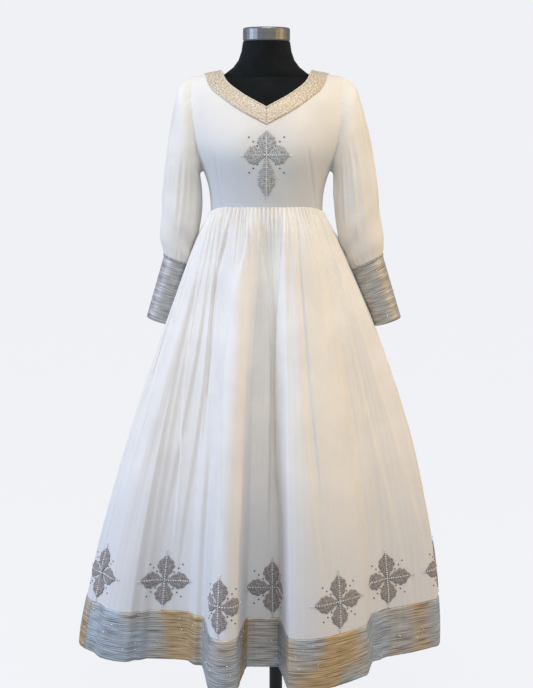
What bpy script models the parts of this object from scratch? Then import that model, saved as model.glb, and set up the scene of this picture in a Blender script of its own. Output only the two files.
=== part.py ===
"""A habesha kemis dress on a limbless dress form, as separate solids.

Metres, +Z up. The dress faces -Y and the wearer's left is at +X. The origin is
on the stand's flat underside, straight below the middle of the neck. Each piece of cloth is a thin
wall lofted through rings or sections of unlike outline, and the pieces stay a
small gap apart at their seams. What lies on a panel is made from that panel's
own points, moved out along its normals.
"""

import math

import bmesh
import bpy
import numpy as np

# ---------------------------------------------------------------- sizes (m)

GAP = 0.0003  # air between two pieces at a seam
CLOTH = 0.0015  # wall of the white cloth with its backing
TILET = 0.0014  # wall of the woven trimming band
EMBROIDERY = 0.0012  # thickness of a padded embroidered cross

# Torso sections: height, half width, depth in front, depth behind.
TORSO_SECTIONS = (
    (1.300, 0.1335, 0.096, 0.078),
    (1.340, 0.1350, 0.101, 0.080),
    (1.380, 0.1400, 0.110, 0.084),
    (1.420, 0.1530, 0.118, 0.090),
    (1.470, 0.1790, 0.122, 0.097),
    (1.520, 0.1930, 0.118, 0.101),
    (1.570, 0.1980, 0.107, 0.100),
    (1.610, 0.1990, 0.094, 0.093),
    (1.650, 0.1990, 0.084, 0.085),
)
BUST_X = 0.076  # each dart's point from the middle
BUST_HEIGHT = 1.462
BUST_REACH = 0.011  # what the darts add to the front's depth
BUST_SPREAD = 0.052

NECK_POINT_X = 0.110  # where the neckline meets the shoulder seam
SHOULDER_X = 0.180  # where the sleeve meets the shoulder seam
SHOULDER_HEIGHT = 1.648  # shoulder seam at the neck
SHOULDER_FALL = 0.013  # from the neck point to the sleeve
SHOULDER_ROUND = 0.085  # radius over the shoulder, front to back
TURN_LENGTH = 0.0031  # cloth in one degree of turn

WAIST_SIDE_HEIGHT = 1.308
WAIST_RISE_FRONT = 0.024
WAIST_RISE_BACK = 0.006
WAIST_LEVEL = 8  # the higher, the longer the seam runs level before it drops at the sides
ARMPIT_HEIGHT = 1.415

# Armhole from the armpit up to the shoulder seam: x, height.
ARMHOLE_FRONT = ((0.160, 1.450), (0.169, 1.490), (0.173, 1.545), (0.176, 1.600))
ARMHOLE_BACK = ((0.164, 1.450), (0.175, 1.490), (0.179, 1.545), (0.180, 1.600))

# Neckline from the shoulder seam to the middle: x, height.
NECK_FRONT_INNER = ((0.110, 1.648), (0.088, 1.618), (0.060, 1.597), (0.0, 1.564))
NECK_FRONT_OUTER = ((0.147, 1.6411), (0.127, 1.607), (0.079, 1.570), (0.0, 1.526))
NECK_BACK_INNER = ((0.110, 1.648), (0.092, 1.627), (0.055, 1.615), (0.0, 1.611))
NECK_BACK_OUTER = ((0.147, 1.6411), (0.124, 1.598), (0.070, 1.579), (0.0, 1.573))

ARMHOLE_STEPS = 7
SHOULDER_STEPS = 3
NECK_STEPS = 5
BODICE_ROWS = 8
ARMHOLE_HOLLOW = 4  # steps from the shoulder seam to the armhole's deepest bend
FOOT_TURNS = (0.0, 33.0, 42.0, 58.0, 90.0)  # at the waist, below the ends of neck, shoulder, hollow and side
ROW_GROWTH = 1.3  # over 1 the rows widen from the neck to the waist
SWING = 3.0  # over 1 turns a panel's lines away from the armhole sooner
BAND_STEPS = 10
BAND_LIFT = 0.0012  # what the neck band stands clear of the panel's flat facets
CROSS_LIFT = 0.0024  # the same for the chest cross

# Sleeve sections: inner x, inner height, outer x, outer height, half depth, middle y.
SLEEVE_LEFT_SECTIONS = (
    (0.157, 1.412, 0.210, 1.613, 0.061, 0.002),
    (0.160, 1.406, 0.224, 1.575, 0.062, 0.003),
    (0.160, 1.398, 0.236, 1.530, 0.060, 0.004),
    (0.160, 1.389, 0.248, 1.483, 0.058, 0.005),
    (0.160, 1.378, 0.258, 1.430, 0.057, 0.006),
    (0.160, 1.360, 0.266, 1.385, 0.057, 0.008),
    (0.163, 1.330, 0.273, 1.337, 0.057, 0.010),
    (0.167, 1.295, 0.278, 1.290, 0.056, 0.013),
    (0.176, 1.250, 0.283, 1.250, 0.052, 0.018),
    (0.193, 1.205, 0.285, 1.230, 0.046, 0.023),
)
SLEEVE_RIGHT_SECTIONS = (
    (0.157, 1.412, 0.207, 1.613, 0.061, 0.002),
    (0.159, 1.406, 0.218, 1.575, 0.062, 0.003),
    (0.158, 1.398, 0.226, 1.530, 0.060, 0.004),
    (0.157, 1.389, 0.234, 1.483, 0.058, 0.006),
    (0.156, 1.378, 0.241, 1.430, 0.056, 0.010),
    (0.155, 1.360, 0.247, 1.385, 0.055, 0.014),
    (0.156, 1.330, 0.253, 1.337, 0.054, 0.021),
    (0.161, 1.292, 0.257, 1.290, 0.053, 0.030),
    (0.170, 1.248, 0.258, 1.250, 0.049, 0.041),
    (0.181, 1.203, 0.254, 1.222, 0.045, 0.051),
)
# Cuff mouths: inner x, inner height, outer x, outer height, half depth, middle y.
CUFF_LEFT_SECTIONS = (
    (0.2064, 1.179, 0.2830, 1.2145, 0.0420, 0.026),
    (0.2654, 1.035, 0.3319, 1.0570, 0.0350, 0.034),
)
CUFF_RIGHT_SECTIONS = (
    (0.1870, 1.187, 0.2517, 1.2108, 0.0430, 0.055),
    (0.2340, 1.030, 0.3004, 1.0509, 0.0350, 0.078),
)

HEM_HEIGHT = 0.218
BAND_HEIGHT = 0.127
HEM_HALF_WIDTH = 0.462
HEM_MIDDLE_X = -0.018
HEM_DEPTH_FRONT = 0.150
HEM_DEPTH_BACK = 0.225
FLARE_POWER = 1.50  # over 1 the skirt rounds out below the gathers
FLARE_TO_LEFT = 0.25  # how much more it does so on the wearer's left
GATHER_PUFF = 0.010
GATHER_LENGTH = 0.015
FOLD_EDGE = 0.013  # half the width in which a fold turns in
SKIRT_COLUMNS = 96
SKIRT_HEIGHTS = (1.280, 1.225, 1.130, 0.975, 0.765, 0.500, 0.440, 0.405)

# The skirt's largest folds at the hem: from x, to x, reach at each of them.
FOLDS_FRONT = (
    (-0.425, -0.335, 0.035, 0.025),
    (-0.310, -0.185, -0.020, -0.032),
    (-0.148, -0.060, 0.145, 0.150),
    (0.041, 0.253, 0.165, 0.095),
    (0.285, 0.430, -0.020, -0.024),
)
FOLDS_BACK = (
    (-0.440, -0.350, 0.020, 0.045),
    (-0.310, -0.225, -0.030, -0.025),
    (-0.185, -0.095, 0.075, 0.100),
    (-0.060, 0.020, -0.035, -0.030),
    (0.050, 0.150, 0.105, 0.070),
    (0.180, 0.235, -0.015, -0.025),
    (0.265, 0.345, 0.060, 0.045),
    (0.375, 0.425, -0.015, -0.010),
)

CROSS_ARM_COLUMNS = 2  # whole columns on each side of the middle one
HEM_CROSS_X = (-0.405, -0.250, -0.115, 0.008, 0.170, 0.300, 0.436)
HEM_CROSSES_BACK = 7
CHEST_CROSS_MIDDLE = 1.457
# The chest cross's upright: height, half width. Two rows bound the arms.
CHEST_UPRIGHT = (
    (1.519, 0.003),
    (1.503, 0.020),
    (1.485, 0.021),
    (1.467, 0.010),
    (1.447, 0.010),
    (1.420, 0.013),
    (1.386, 0.023),
    (1.372, 0.018),
    (1.357, 0.003),
)
CHEST_ARM_ROW = 3
# Its arms: x from the middle, half height.
CHEST_ARM = ((0.060, 0.003), (0.044, 0.021), (0.028, 0.020))

# Dress form: height, half width, depth in front, depth behind.
FORM_SECTIONS = (
    (0.930, 0.118, 0.070, 0.080),
    (0.936, 0.136, 0.082, 0.092),
    (0.960, 0.151, 0.092, 0.102),
    (1.030, 0.160, 0.095, 0.106),
    (1.110, 0.161, 0.093, 0.102),
    (1.180, 0.152, 0.090, 0.092),
    (1.250, 0.134, 0.086, 0.078),
    (1.300, 0.126, 0.086, 0.070),
    (1.340, 0.127, 0.090, 0.072),
    (1.380, 0.131, 0.098, 0.076),
    (1.420, 0.143, 0.106, 0.082),
    (1.470, 0.162, 0.110, 0.088),
    (1.520, 0.174, 0.106, 0.092),
    (1.560, 0.177, 0.096, 0.088),
    (1.590, 0.174, 0.076, 0.074),
    (1.610, 0.164, 0.060, 0.061),
    (1.624, 0.146, 0.051, 0.053),
    (1.634, 0.114, 0.047, 0.049),
    (1.644, 0.096, 0.049, 0.050),
    (1.658, 0.078, 0.050, 0.050),
    (1.674, 0.066, 0.051, 0.051),
    (1.694, 0.059, 0.052, 0.052),
    (1.716, 0.0555, 0.053, 0.053),
)
FORM_COLUMNS = 32
DISC_SIDES = 32
CAP_RADIUS = 0.0553
CAP_BOTTOM = 1.7163
CAP_TOP = 1.748
CAP_EDGE = 0.004

POLE_X = 0.024
POLE_RADIUS = 0.0165
BASE_RADIUS = 0.140
BASE_HEIGHT = 0.020
BASE_EDGE = 0.005

# ---------------------------------------------------------------- materials

# Name: colour, roughness, metallic.
FINISHES = {
    "ivory_chiffon": ((0.80, 0.79, 0.76), 0.85, 0.0),
    "silver_tilet": ((0.42, 0.41, 0.39), 0.50, 0.3),
    "champagne_tilet": ((0.62, 0.54, 0.42), 0.55, 0.2),
    "grey_embroidery": ((0.34, 0.35, 0.36), 0.60, 0.1),
    "black_jersey": ((0.013, 0.016, 0.018), 0.80, 0.0),
    "satin_metal": ((0.45, 0.45, 0.45), 0.35, 1.0),
    "black_enamel": ((0.012, 0.014, 0.016), 0.40, 0.0),
}


def finish(name):
    """The material of this name, made once."""
    material = bpy.data.materials.get(name)
    if material is None:
        colour, roughness, metallic = FINISHES[name]
        material = bpy.data.materials.new(name)
        material.use_nodes = True
        shader = material.node_tree.nodes["Principled BSDF"]
        shader.inputs["Base Color"].default_value = (*colour, 1.0)
        shader.inputs["Roughness"].default_value = roughness
        shader.inputs["Metallic"].default_value = metallic
    return material


# ---------------------------------------------------------------- scene and meshes


def clear_scene():
    """Removes every object that the file opened with."""
    for thing in list(bpy.data.objects):
        bpy.data.objects.remove(thing, do_unlink=True)


def new_collection(name):
    """A collection of this name in the scene."""
    group = bpy.data.collections.new(name)
    bpy.context.scene.collection.children.link(group)
    return group


def add_piece(name, points, faces, material):
    """Makes one closed, smooth piece from points and triangles."""
    mesh = bpy.data.meshes.new(name)
    mesh.from_pydata([tuple(p) for p in points], [], [tuple(f) for f in faces])
    work = bmesh.new()
    work.from_mesh(mesh)
    bmesh.ops.recalc_face_normals(work, faces=work.faces[:])
    work.to_mesh(mesh)
    work.free()
    mesh.shade_smooth()
    mesh.set_sharp_from_angle(angle=math.radians(50))
    mesh.materials.append(finish(material))
    piece = bpy.data.objects.new(name, mesh)
    DRESS.objects.link(piece)
    return piece


def take_piece(name, material):
    """Names the object just added by an operator and moves it into the dress's collection."""
    piece = bpy.context.object
    piece.name = name
    piece.data.name = name
    for group in list(piece.users_collection):
        group.objects.unlink(piece)
    DRESS.objects.link(piece)
    piece.data.materials.append(finish(material))
    piece.data.shade_smooth()
    piece.data.set_sharp_from_angle(angle=math.radians(40))
    return piece


def plate(name, outer, inner, cells, material, wrap=False):
    """A wall between two grids of points, over the cells that a mask picks.

    Each cell is two triangles with the same diagonal, so walls that share their
    points stay parallel. Cells with no neighbour in the mask get a rim.
    """
    rows, columns = outer.shape[:2]
    index = np.arange(rows * columns).reshape(rows, columns)
    lift = rows * columns
    faces = []
    for r, c in np.argwhere(cells):
        n = (c + 1) % columns
        a, b, d, e = index[r, c], index[r, n], index[r + 1, n], index[r + 1, c]
        faces += [(a, b, d), (a, d, e)]
        faces += [(d + lift, b + lift, a + lift), (e + lift, d + lift, a + lift)]
        left = (c - 1) % columns
        edges = (
            ((a, b), r == 0 or not cells[r - 1, c]),
            ((d, e), r == rows - 2 or not cells[r + 1, c]),
            ((e, a), (c == 0 and not wrap) or not cells[r, left]),
            ((b, d), (n == columns - 1 and not wrap) or not cells[r, n % cells.shape[1]]),
        )
        for (p, q), bare in edges:
            if bare:
                faces += [(q, p, p + lift), (q, p + lift, q + lift)]
    points = np.concatenate([outer.reshape(-1, 3), inner.reshape(-1, 3)])
    used, places = np.unique(np.array(faces), return_inverse=True)
    return add_piece(name, points[used], places.reshape(-1, 3), material)


def whole(grid, wrap=False):
    """A mask that takes every cell of a grid."""
    rows, columns = grid.shape[:2]
    return np.ones((rows - 1, columns if wrap else columns - 1), dtype=bool)


def skin(name, grid, out, thickness, material, cells=None, wrap=False):
    """A piece that lies on a grid, a gap above it, of the given thickness."""
    cells = whole(grid, wrap) if cells is None else cells
    return plate(name, grid + out * (GAP + thickness), grid + out * GAP, cells, material, wrap)


# ---------------------------------------------------------------- curves


def smooth(x, knots, values):
    """Cubic through the knots, whose slope at each is that of its neighbours."""
    knots = np.asarray(knots, float)
    values = np.asarray(values, float)
    slopes = np.gradient(values, knots)
    x = np.clip(x, knots[0], knots[-1])
    k = np.clip(np.searchsorted(knots, x, side="right") - 1, 0, len(knots) - 2)
    width = knots[k + 1] - knots[k]
    t = (x - knots[k]) / width
    rest = values[k + 1] * t * t * (3 - 2 * t) + values[k] * (1 - t) ** 2 * (1 + 2 * t)
    return rest + width * (slopes[k] * t * (1 - t) ** 2 - slopes[k + 1] * t * t * (1 - t))


def along(points, steps):
    """A smooth path through points in any number of dimensions, cut into equal steps."""
    points = np.asarray(points, float)
    reach = np.concatenate([[0.0], np.cumsum(np.linalg.norm(np.diff(points, axis=0), axis=1))])
    fine = np.linspace(0.0, reach[-1], 40 * len(points))
    path = np.stack([smooth(fine, reach, column) for column in points.T], axis=1)
    return evenly(path, np.linspace(0.0, 1.0, steps + 1))


def evenly(path, shares):
    """Points at these shares of a path's own length."""
    reach = np.concatenate([[0.0], np.cumsum(np.linalg.norm(np.diff(path, axis=0), axis=1))])
    return np.stack([np.interp(shares * reach[-1], reach, column) for column in path.T], axis=1)


def unit(vectors):
    """The vectors at length 1."""
    return vectors / np.maximum(np.linalg.norm(vectors, axis=-1, keepdims=True), 1e-12)


def grid_normals(grid):
    """Outward normals of a tube of rings, top ring first, each ring going round from front to +X."""
    across = np.roll(grid, -1, axis=1) - np.roll(grid, 1, axis=1)
    down = np.gradient(grid, axis=0)
    return unit(np.cross(down, across))


# ---------------------------------------------------------------- bodice surface


def torso_columns(height):
    """Half width and the two depths of the torso at a height."""
    table = np.array(TORSO_SECTIONS)
    return [smooth(height, table[:, 0], table[:, k]) for k in (1, 2, 3)]


def shoulder_height(x):
    """Height of the shoulder seam above this x."""
    share = (np.abs(x) - NECK_POINT_X) / (SHOULDER_X - NECK_POINT_X)
    return SHOULDER_HEIGHT - SHOULDER_FALL * np.clip(share, 0.0, 1.4)


def torso(turn, fall, side):
    """Points of the bodice.

    turn runs from -90 to 90 degrees between the side seams, fall is the way down
    from the shoulder seam, and side is -1 in front and 1 behind. A quarter round
    carries each side up to the shoulder seam.
    """
    turn = np.radians(turn)
    sweep = SHOULDER_ROUND * math.pi / 2
    lean = np.clip(fall / sweep, -1.0, 1.0) * math.pi / 2
    top = shoulder_height(0.199 * np.sin(turn))
    height = top - SHOULDER_ROUND * (1 - np.cos(lean)) - np.maximum(fall - sweep, 0.0)
    half_width, front, back = torso_columns(height)
    x = half_width * np.sin(turn)
    far = ((np.abs(x) - BUST_X) ** 2 + (height - BUST_HEIGHT) ** 2) / BUST_SPREAD**2
    depth = front + BUST_REACH * np.exp(-far) if side < 0 else back
    y = side * depth * np.cos(turn) * np.sin(lean)
    return np.stack([x, y, height], axis=-1)


def torso_out(turn, fall, side):
    """Outward normals of the bodice."""
    step = 1e-4
    by_turn = torso(turn + 0.1, fall, side) - torso(turn - 0.1, fall, side)
    by_fall = torso(turn, fall + step, side) - torso(turn, fall - step, side)
    return unit(side * np.cross(by_turn, by_fall))


def torso_place(x, height):
    """Turn and fall of the bodice's point at this x and height."""
    half_width = torso_columns(height)[0]
    turn = np.degrees(np.arcsin(np.clip(x / half_width, -1.0, 1.0)))
    drop = np.maximum(shoulder_height(0.199 * np.sin(np.radians(turn))) - height, 0.0)
    lean = np.arccos(np.clip(1 - drop / SHOULDER_ROUND, 0.0, 1.0))
    fall = lean * SHOULDER_ROUND + np.maximum(drop - SHOULDER_ROUND, 0.0)
    return turn, fall


def waist_height(turn, side):
    """Height of the waist seam, which rises in front."""
    rise = WAIST_RISE_FRONT if side < 0 else WAIST_RISE_BACK
    return WAIST_SIDE_HEIGHT + rise * (1 - np.sin(np.radians(turn)) ** WAIST_LEVEL)


def places(points):
    """Turns and falls of points given by x and height, as two columns."""
    points = np.asarray(points, float)
    return np.stack(torso_place(points[:, 0], points[:, 1]), axis=1)


def surface_path(knots, steps):
    """A smooth path over the bodice through turns and falls, cut into equal steps."""
    scale = np.array([TURN_LENGTH, 1.0])
    return along(knots * scale, steps) / scale


def shoulder_place(x):
    """Turn and fall of the shoulder seam's point at this x."""
    return np.array([places([(x, SHOULDER_HEIGHT)])[0, 0], 0.0])


def neck_path(edge, steps):
    """A neckline from the shoulder seam to the middle, as turns and falls."""
    return surface_path(np.vstack([shoulder_place(edge[0][0]), places(edge[1:])]), steps)


def top_edge(side):
    """The panel's edge from the middle of the neck to the armpit, as turns and falls."""
    neck = NECK_FRONT_INNER if side < 0 else NECK_BACK_INNER
    armhole = ARMHOLE_FRONT if side < 0 else ARMHOLE_BACK
    start = shoulder_place(NECK_POINT_X)
    end = shoulder_place(SHOULDER_X)
    armpit = np.array([90.0, torso_place(0.15, ARMPIT_HEIGHT)[1]])
    collar = neck_path(neck, NECK_STEPS)[::-1]
    seam = np.linspace(start, end, SHOULDER_STEPS + 1)
    hole = surface_path(np.vstack([end, places(armhole[::-1]), armpit]), ARMHOLE_STEPS)
    return np.vstack([collar, seam[1:], hole[1:]])


def bodice_grid(side):
    """Turns and falls of a bodice panel, neck row first, from -X to +X."""
    top = top_edge(side)
    steps = len(top) - 1
    sleeve = NECK_STEPS + SHOULDER_STEPS
    ends = (0, NECK_STEPS, sleeve, sleeve + ARMHOLE_HOLLOW, steps)
    turn = np.interp(np.arange(steps + 1), ends, FOOT_TURNS)
    foot = np.stack([turn, np.zeros(steps + 1)], axis=1)
    height = waist_height(turn, side)
    drop = shoulder_height(0.199 * np.sin(np.radians(turn))) - height
    foot[:, 1] = drop - SHOULDER_ROUND + SHOULDER_ROUND * math.pi / 2
    share = np.linspace(0.0, 1.0, BODICE_ROWS + 1)[:, None] ** ROW_GROWTH
    swing = 1 - (1 - share) ** SWING
    half_turn = top[:, 0] * (1 - swing) + foot[:, 0] * swing
    half_fall = top[:, 1] * (1 - share) + foot[:, 1] * share
    half = np.stack([half_turn, half_fall], axis=-1)
    mirrored = half[:, :0:-1] * np.array([-1.0, 1.0])
    both = np.concatenate([mirrored, half], axis=1)
    return both[..., 0], both[..., 1]


def set_apart(points, side):
    """Moves a front or back panel half a gap from the seams that join the two."""
    return points + np.array([0.0, side * GAP / 2, 0.0])


def make_bodice():
    """Front and back panels. Returns each one's outer points and normals."""
    made = {}
    for name, side in (("bodice_front", -1), ("bodice_back", 1)):
        turn, fall = bodice_grid(side)
        outer = set_apart(torso(turn, fall, side), side)
        out = torso_out(turn, fall, side)
        plate(name, outer, outer - out * CLOTH, whole(outer), "ivory_chiffon")
        made[side] = (outer, out)
    return made


# ---------------------------------------------------------------- neck band


def band_strip(inner, outer, side, steps):
    """Points and normals of half a neck band, from the shoulder seam to the middle."""
    edges = [neck_path(edge, steps) for edge in (inner, outer)]
    share = np.linspace(0.0, 1.0, 3)[:, None, None]
    strip = edges[0] * (1 - share) + edges[1] * share
    turn, fall = strip[..., 0], strip[..., 1]
    return set_apart(torso(turn, fall, side), side), torso_out(turn, fall, side)


def make_neck_band():
    """Two front pieces mitred at the V, and one piece round the back."""
    lift = BAND_LIFT
    points, out = band_strip(NECK_FRONT_INNER, NECK_FRONT_OUTER, -1, BAND_STEPS)
    for name, sign in (("neck_band_left", 1), ("neck_band_right", -1)):
        mirror = np.array([sign, 1.0, 1.0])
        seam = np.array([sign * GAP / 2, 0.0, 0.0])
        base = points * mirror + seam + out * mirror * lift
        skin(name, base, out * mirror, TILET, "champagne_tilet")
    points, out = band_strip(NECK_BACK_INNER, NECK_BACK_OUTER, 1, BAND_STEPS)
    mirror = np.array([-1.0, 1.0, 1.0])
    both = np.concatenate([points, points[:, -2::-1] * mirror], axis=1)
    both_out = np.concatenate([out, out[:, -2::-1] * mirror], axis=1)
    skin("neck_band_back", both + both_out * lift, both_out, TILET, "champagne_tilet")


# ---------------------------------------------------------------- sleeves and cuffs


def sleeve_ring(section, sign):
    """One section of a sleeve or cuff, an ellipse that starts at its inner side and goes by the front."""
    inner_x, inner_z, outer_x, outer_z, half_depth, middle_y = section
    round_it = np.linspace(0.0, 2 * math.pi, 2 * ARMHOLE_STEPS, endpoint=False)
    share = (1 - np.cos(round_it)) / 2
    x = inner_x + (outer_x - inner_x) * share
    z = inner_z + (outer_z - inner_z) * share
    y = middle_y - half_depth * np.sin(round_it)
    return np.stack([sign * x, y, z], axis=1)


def closed_loop(front, back):
    """One loop of two halves, up the front and down the back, whose ends are shared."""
    return np.vstack([(front[0] + back[0]) / 2, front[1:-1], (front[-1] + back[-1]) / 2, back[-2:0:-1]])


def armhole_ring(bodice, sign):
    """The armhole from the armpit up the front and down the back, a gap out from the panels.

    Also gives, at each point, the way out from the panels along their surface.
    """
    halves, aways = [], []
    toward_arm = np.array([sign, 0.0, 0.3])
    for side in (-1, 1):
        outer, out = bodice[side]
        end = -1 if sign > 0 else 0
        step = -1 if sign > 0 else 1
        columns = [end + step * k for k in range(ARMHOLE_STEPS + 1)]
        edge = outer[0, columns]
        away = unit(np.cross(out[0, columns], np.gradient(edge, axis=0)))
        away *= np.sign(away @ toward_arm)[:, None]
        halves.append(edge + away * GAP * 1.5)
        aways.append(away)
    return closed_loop(*halves), unit(closed_loop(*aways))


def tube(name, rings, sign, wall, material, away=None):
    """A cloth tube through rings that go round from the inner side by the front.

    away is the way out from the seam at the first ring, whose rim stays square to it.
    """
    grid = np.array(rings)
    out = grid_normals(grid) * sign
    if away is not None:
        back_turned = np.maximum((out[0] * away).sum(axis=1), 0.0)
        out[0] = unit(out[0] - away * back_turned[:, None])
    plate(name, grid, grid - out * wall, whole(grid, wrap=True), material, wrap=True)
    return grid, out


def make_sleeves(bodice):
    """Both sleeves, from the armhole to the cuff, and their cuffs."""
    sets = (
        ("left", 1, SLEEVE_LEFT_SECTIONS, CUFF_LEFT_SECTIONS),
        ("right", -1, SLEEVE_RIGHT_SECTIONS, CUFF_RIGHT_SECTIONS),
    )
    for word, sign, sections, cuff_sections in sets:
        mouth, foot = [sleeve_ring(section, sign) for section in cuff_sections]
        axis = unit(foot.mean(axis=0) - mouth.mean(axis=0))
        armhole, away = armhole_ring(bodice, sign)
        rings = [armhole]
        rings += [sleeve_ring(section, sign) for section in sections]
        rings.append(mouth - axis * GAP)
        tube("sleeve_" + word, rings, sign, CLOTH, "ivory_chiffon", away)
        tube("cuff_" + word, [mouth, foot], sign, TILET, "silver_tilet")


# ---------------------------------------------------------------- skirt


def fold_reach(x, folds):
    """How far the folds carry the hem out from its plain oval at this x."""
    reach = np.zeros_like(x)
    for start, end, reach_start, reach_end in folds:
        share = np.clip((x - start) / (end - start), 0.0, 1.0)
        rise = np.clip((x - start) / (2 * FOLD_EDGE) + 0.5, 0.0, 1.0)
        drop = np.clip((end - x) / (2 * FOLD_EDGE) + 0.5, 0.0, 1.0)
        window = (3 - 2 * rise) * rise**2 * (3 - 2 * drop) * drop**2
        crown = 1 - 0.25 * (2 * share - 1) ** 2
        reach += (reach_start + (reach_end - reach_start) * share) * window * crown
    return reach


def hem_plan():
    """The hem seen from above, from the middle of the front round by +X, in equal lengths of cloth."""
    turn = np.linspace(0.0, 2 * math.pi, 2880)
    x = HEM_MIDDLE_X + HEM_HALF_WIDTH * np.sin(turn)
    front = np.cos(turn) > 0
    oval = np.where(front, HEM_DEPTH_FRONT, HEM_DEPTH_BACK) * np.cos(turn)
    side_fade = np.abs(np.cos(turn)) ** 0.5
    reach = np.where(front, fold_reach(x, FOLDS_FRONT), -fold_reach(x, FOLDS_BACK)) * side_fade
    path = np.stack([x, -(oval + reach)], axis=1)
    start = int(np.argmin(np.where(front, np.abs(x), 9.0)))
    path = np.concatenate([path[start:-1], path[: start + 1]])
    return evenly(path, np.arange(SKIRT_COLUMNS) / SKIRT_COLUMNS)


def waist_ring(bodice):
    """The bodice's lower edge, from the middle of the front round by +X, in equal lengths."""
    front = bodice[-1][0][-1]
    back = bodice[1][0][-1][::-1]
    middle = len(front) // 2
    loop = np.vstack([front[middle:], back, front[: middle + 1]])
    return evenly(loop, np.arange(SKIRT_COLUMNS) / SKIRT_COLUMNS)


def skirt_grid(bodice):
    """Rings of the skirt, waist first."""
    waist = waist_ring(bodice)
    hem = hem_plan()
    outward = unit(waist[:, :2] / np.array([0.134, 0.090]) ** 2)
    heights = (*SKIRT_HEIGHTS, HEM_HEIGHT + BAND_HEIGHT, HEM_HEIGHT)
    power = FLARE_POWER + FLARE_TO_LEFT * waist[:, 0] / np.abs(waist[:, 0]).max()
    top = waist[:, 2] - GAP * 1.3
    rings = [np.column_stack([waist[:, :2], top])]
    for height in heights:
        share = (top - height) / (top - HEM_HEIGHT)
        spread = (1 - (1 - share) ** power)[:, None]
        puff = GATHER_PUFF * (1 - np.exp((height - top) / GATHER_LENGTH)) * (1 - share)
        plan = waist[:, :2] * (1 - spread) + hem * spread + outward * puff[:, None]
        rings.append(np.column_stack([plan, np.full(SKIRT_COLUMNS, height)]))
    return np.array(rings)


def panel_slice(grid, half):
    """The front or back half of a closed grid, as an open one with half a gap at each side seam."""
    quarter = SKIRT_COLUMNS // 4
    start = -quarter if half == "front" else quarter
    columns = [(start + k) % SKIRT_COLUMNS for k in range(2 * quarter + 1)]
    return grid[:, columns].copy(), columns


def seam_gap(points):
    """Draws a panel's two side edges in by half a gap."""
    for edge, inside in ((0, 1), (-1, -2)):
        points[:, edge] += unit(points[:, inside] - points[:, edge]) * GAP / 2
    return points


def make_skirt(bodice):
    """Skirt panels, hem bands and hem crosses."""
    grid = skirt_grid(bodice)
    out = grid_normals(grid)
    rows = len(grid) - 1
    for half in ("front", "back"):
        outer, columns = panel_slice(grid, half)
        normals = out[:, columns]
        inner = seam_gap(outer - normals * CLOTH)
        outer = seam_gap(outer)
        plate("skirt_" + half, outer, inner, whole(outer), "ivory_chiffon")
        band = outer[rows - 1 :].copy()
        band[0] += (band[1] - band[0]) * (2 * GAP / BAND_HEIGHT)
        skin("hem_band_" + half, band, normals[rows - 1 :], TILET, "silver_tilet")
    make_hem_crosses(grid, out, rows)


def cross_columns(grid, out, level):
    """The column of cells in which each hem cross has its middle."""
    middles = (grid[level] + np.roll(grid[level], -1, axis=0)) / 2
    facing = out[level]
    found = []
    for x in HEM_CROSS_X:
        cost = np.abs(middles[:, 0] - x) + 0.02 * (1 + facing[:, 1])
        cost = np.where(facing[:, 1] < 0.2, cost, 9.0)
        column = (int(np.argmin(cost)) + SKIRT_COLUMNS // 2) % SKIRT_COLUMNS - SKIRT_COLUMNS // 2
        found.append(max(column, found[-1] + 2 * CROSS_ARM_COLUMNS + 2) if found else column)
    last, first = found[-1], found[0]
    span = (first + SKIRT_COLUMNS - last) / (HEM_CROSSES_BACK + 1)
    return found + [round(last + span * (k + 1)) for k in range(HEM_CROSSES_BACK)]


def make_hem_crosses(grid, out, rows):
    """Embroidered crosses in a row above the hem band."""
    level = rows - 3
    for number, column in enumerate(cross_columns(grid, out, level)):
        cells = np.zeros((rows, SKIRT_COLUMNS), dtype=bool)
        cells[rows - 4 : rows - 1, column % SKIRT_COLUMNS] = True
        for k in range(-CROSS_ARM_COLUMNS, CROSS_ARM_COLUMNS + 1):
            cells[rows - 3, (column + k) % SKIRT_COLUMNS] = True
        name = f"hem_cross_{number + 1:02d}"
        skin(name, grid, out, EMBROIDERY, "grey_embroidery", cells, wrap=True)


def make_chest_cross():
    """The cross on the chest, four leaf-shaped arms of which the lowest is the longest."""
    upright = np.array(CHEST_UPRIGHT)
    arm = np.array(CHEST_ARM)
    columns = 2 * len(arm) + 2
    height = np.repeat(upright[:, :1], columns, axis=1)
    x = np.zeros_like(height)
    x[:, len(arm)] = -upright[:, 1]
    x[:, len(arm) + 1] = upright[:, 1]
    for k, (reach, half_height) in enumerate(arm):
        for column, sign in ((k, -1), (columns - 1 - k, 1)):
            x[:, column] = sign * reach
            height[CHEST_ARM_ROW, column] = CHEST_CROSS_MIDDLE + half_height
            height[CHEST_ARM_ROW + 1, column] = CHEST_CROSS_MIDDLE - half_height
    cells = np.zeros((len(upright) - 1, columns - 1), dtype=bool)
    cells[:, len(arm)] = True
    cells[CHEST_ARM_ROW] = True
    turn, fall = torso_place(x, height)
    out = torso_out(turn, fall, -1)
    base = set_apart(torso(turn, fall, -1), -1) + out * CROSS_LIFT
    skin("chest_cross", base, out, EMBROIDERY, "grey_embroidery", cells)


# ---------------------------------------------------------------- dress form and stand


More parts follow.
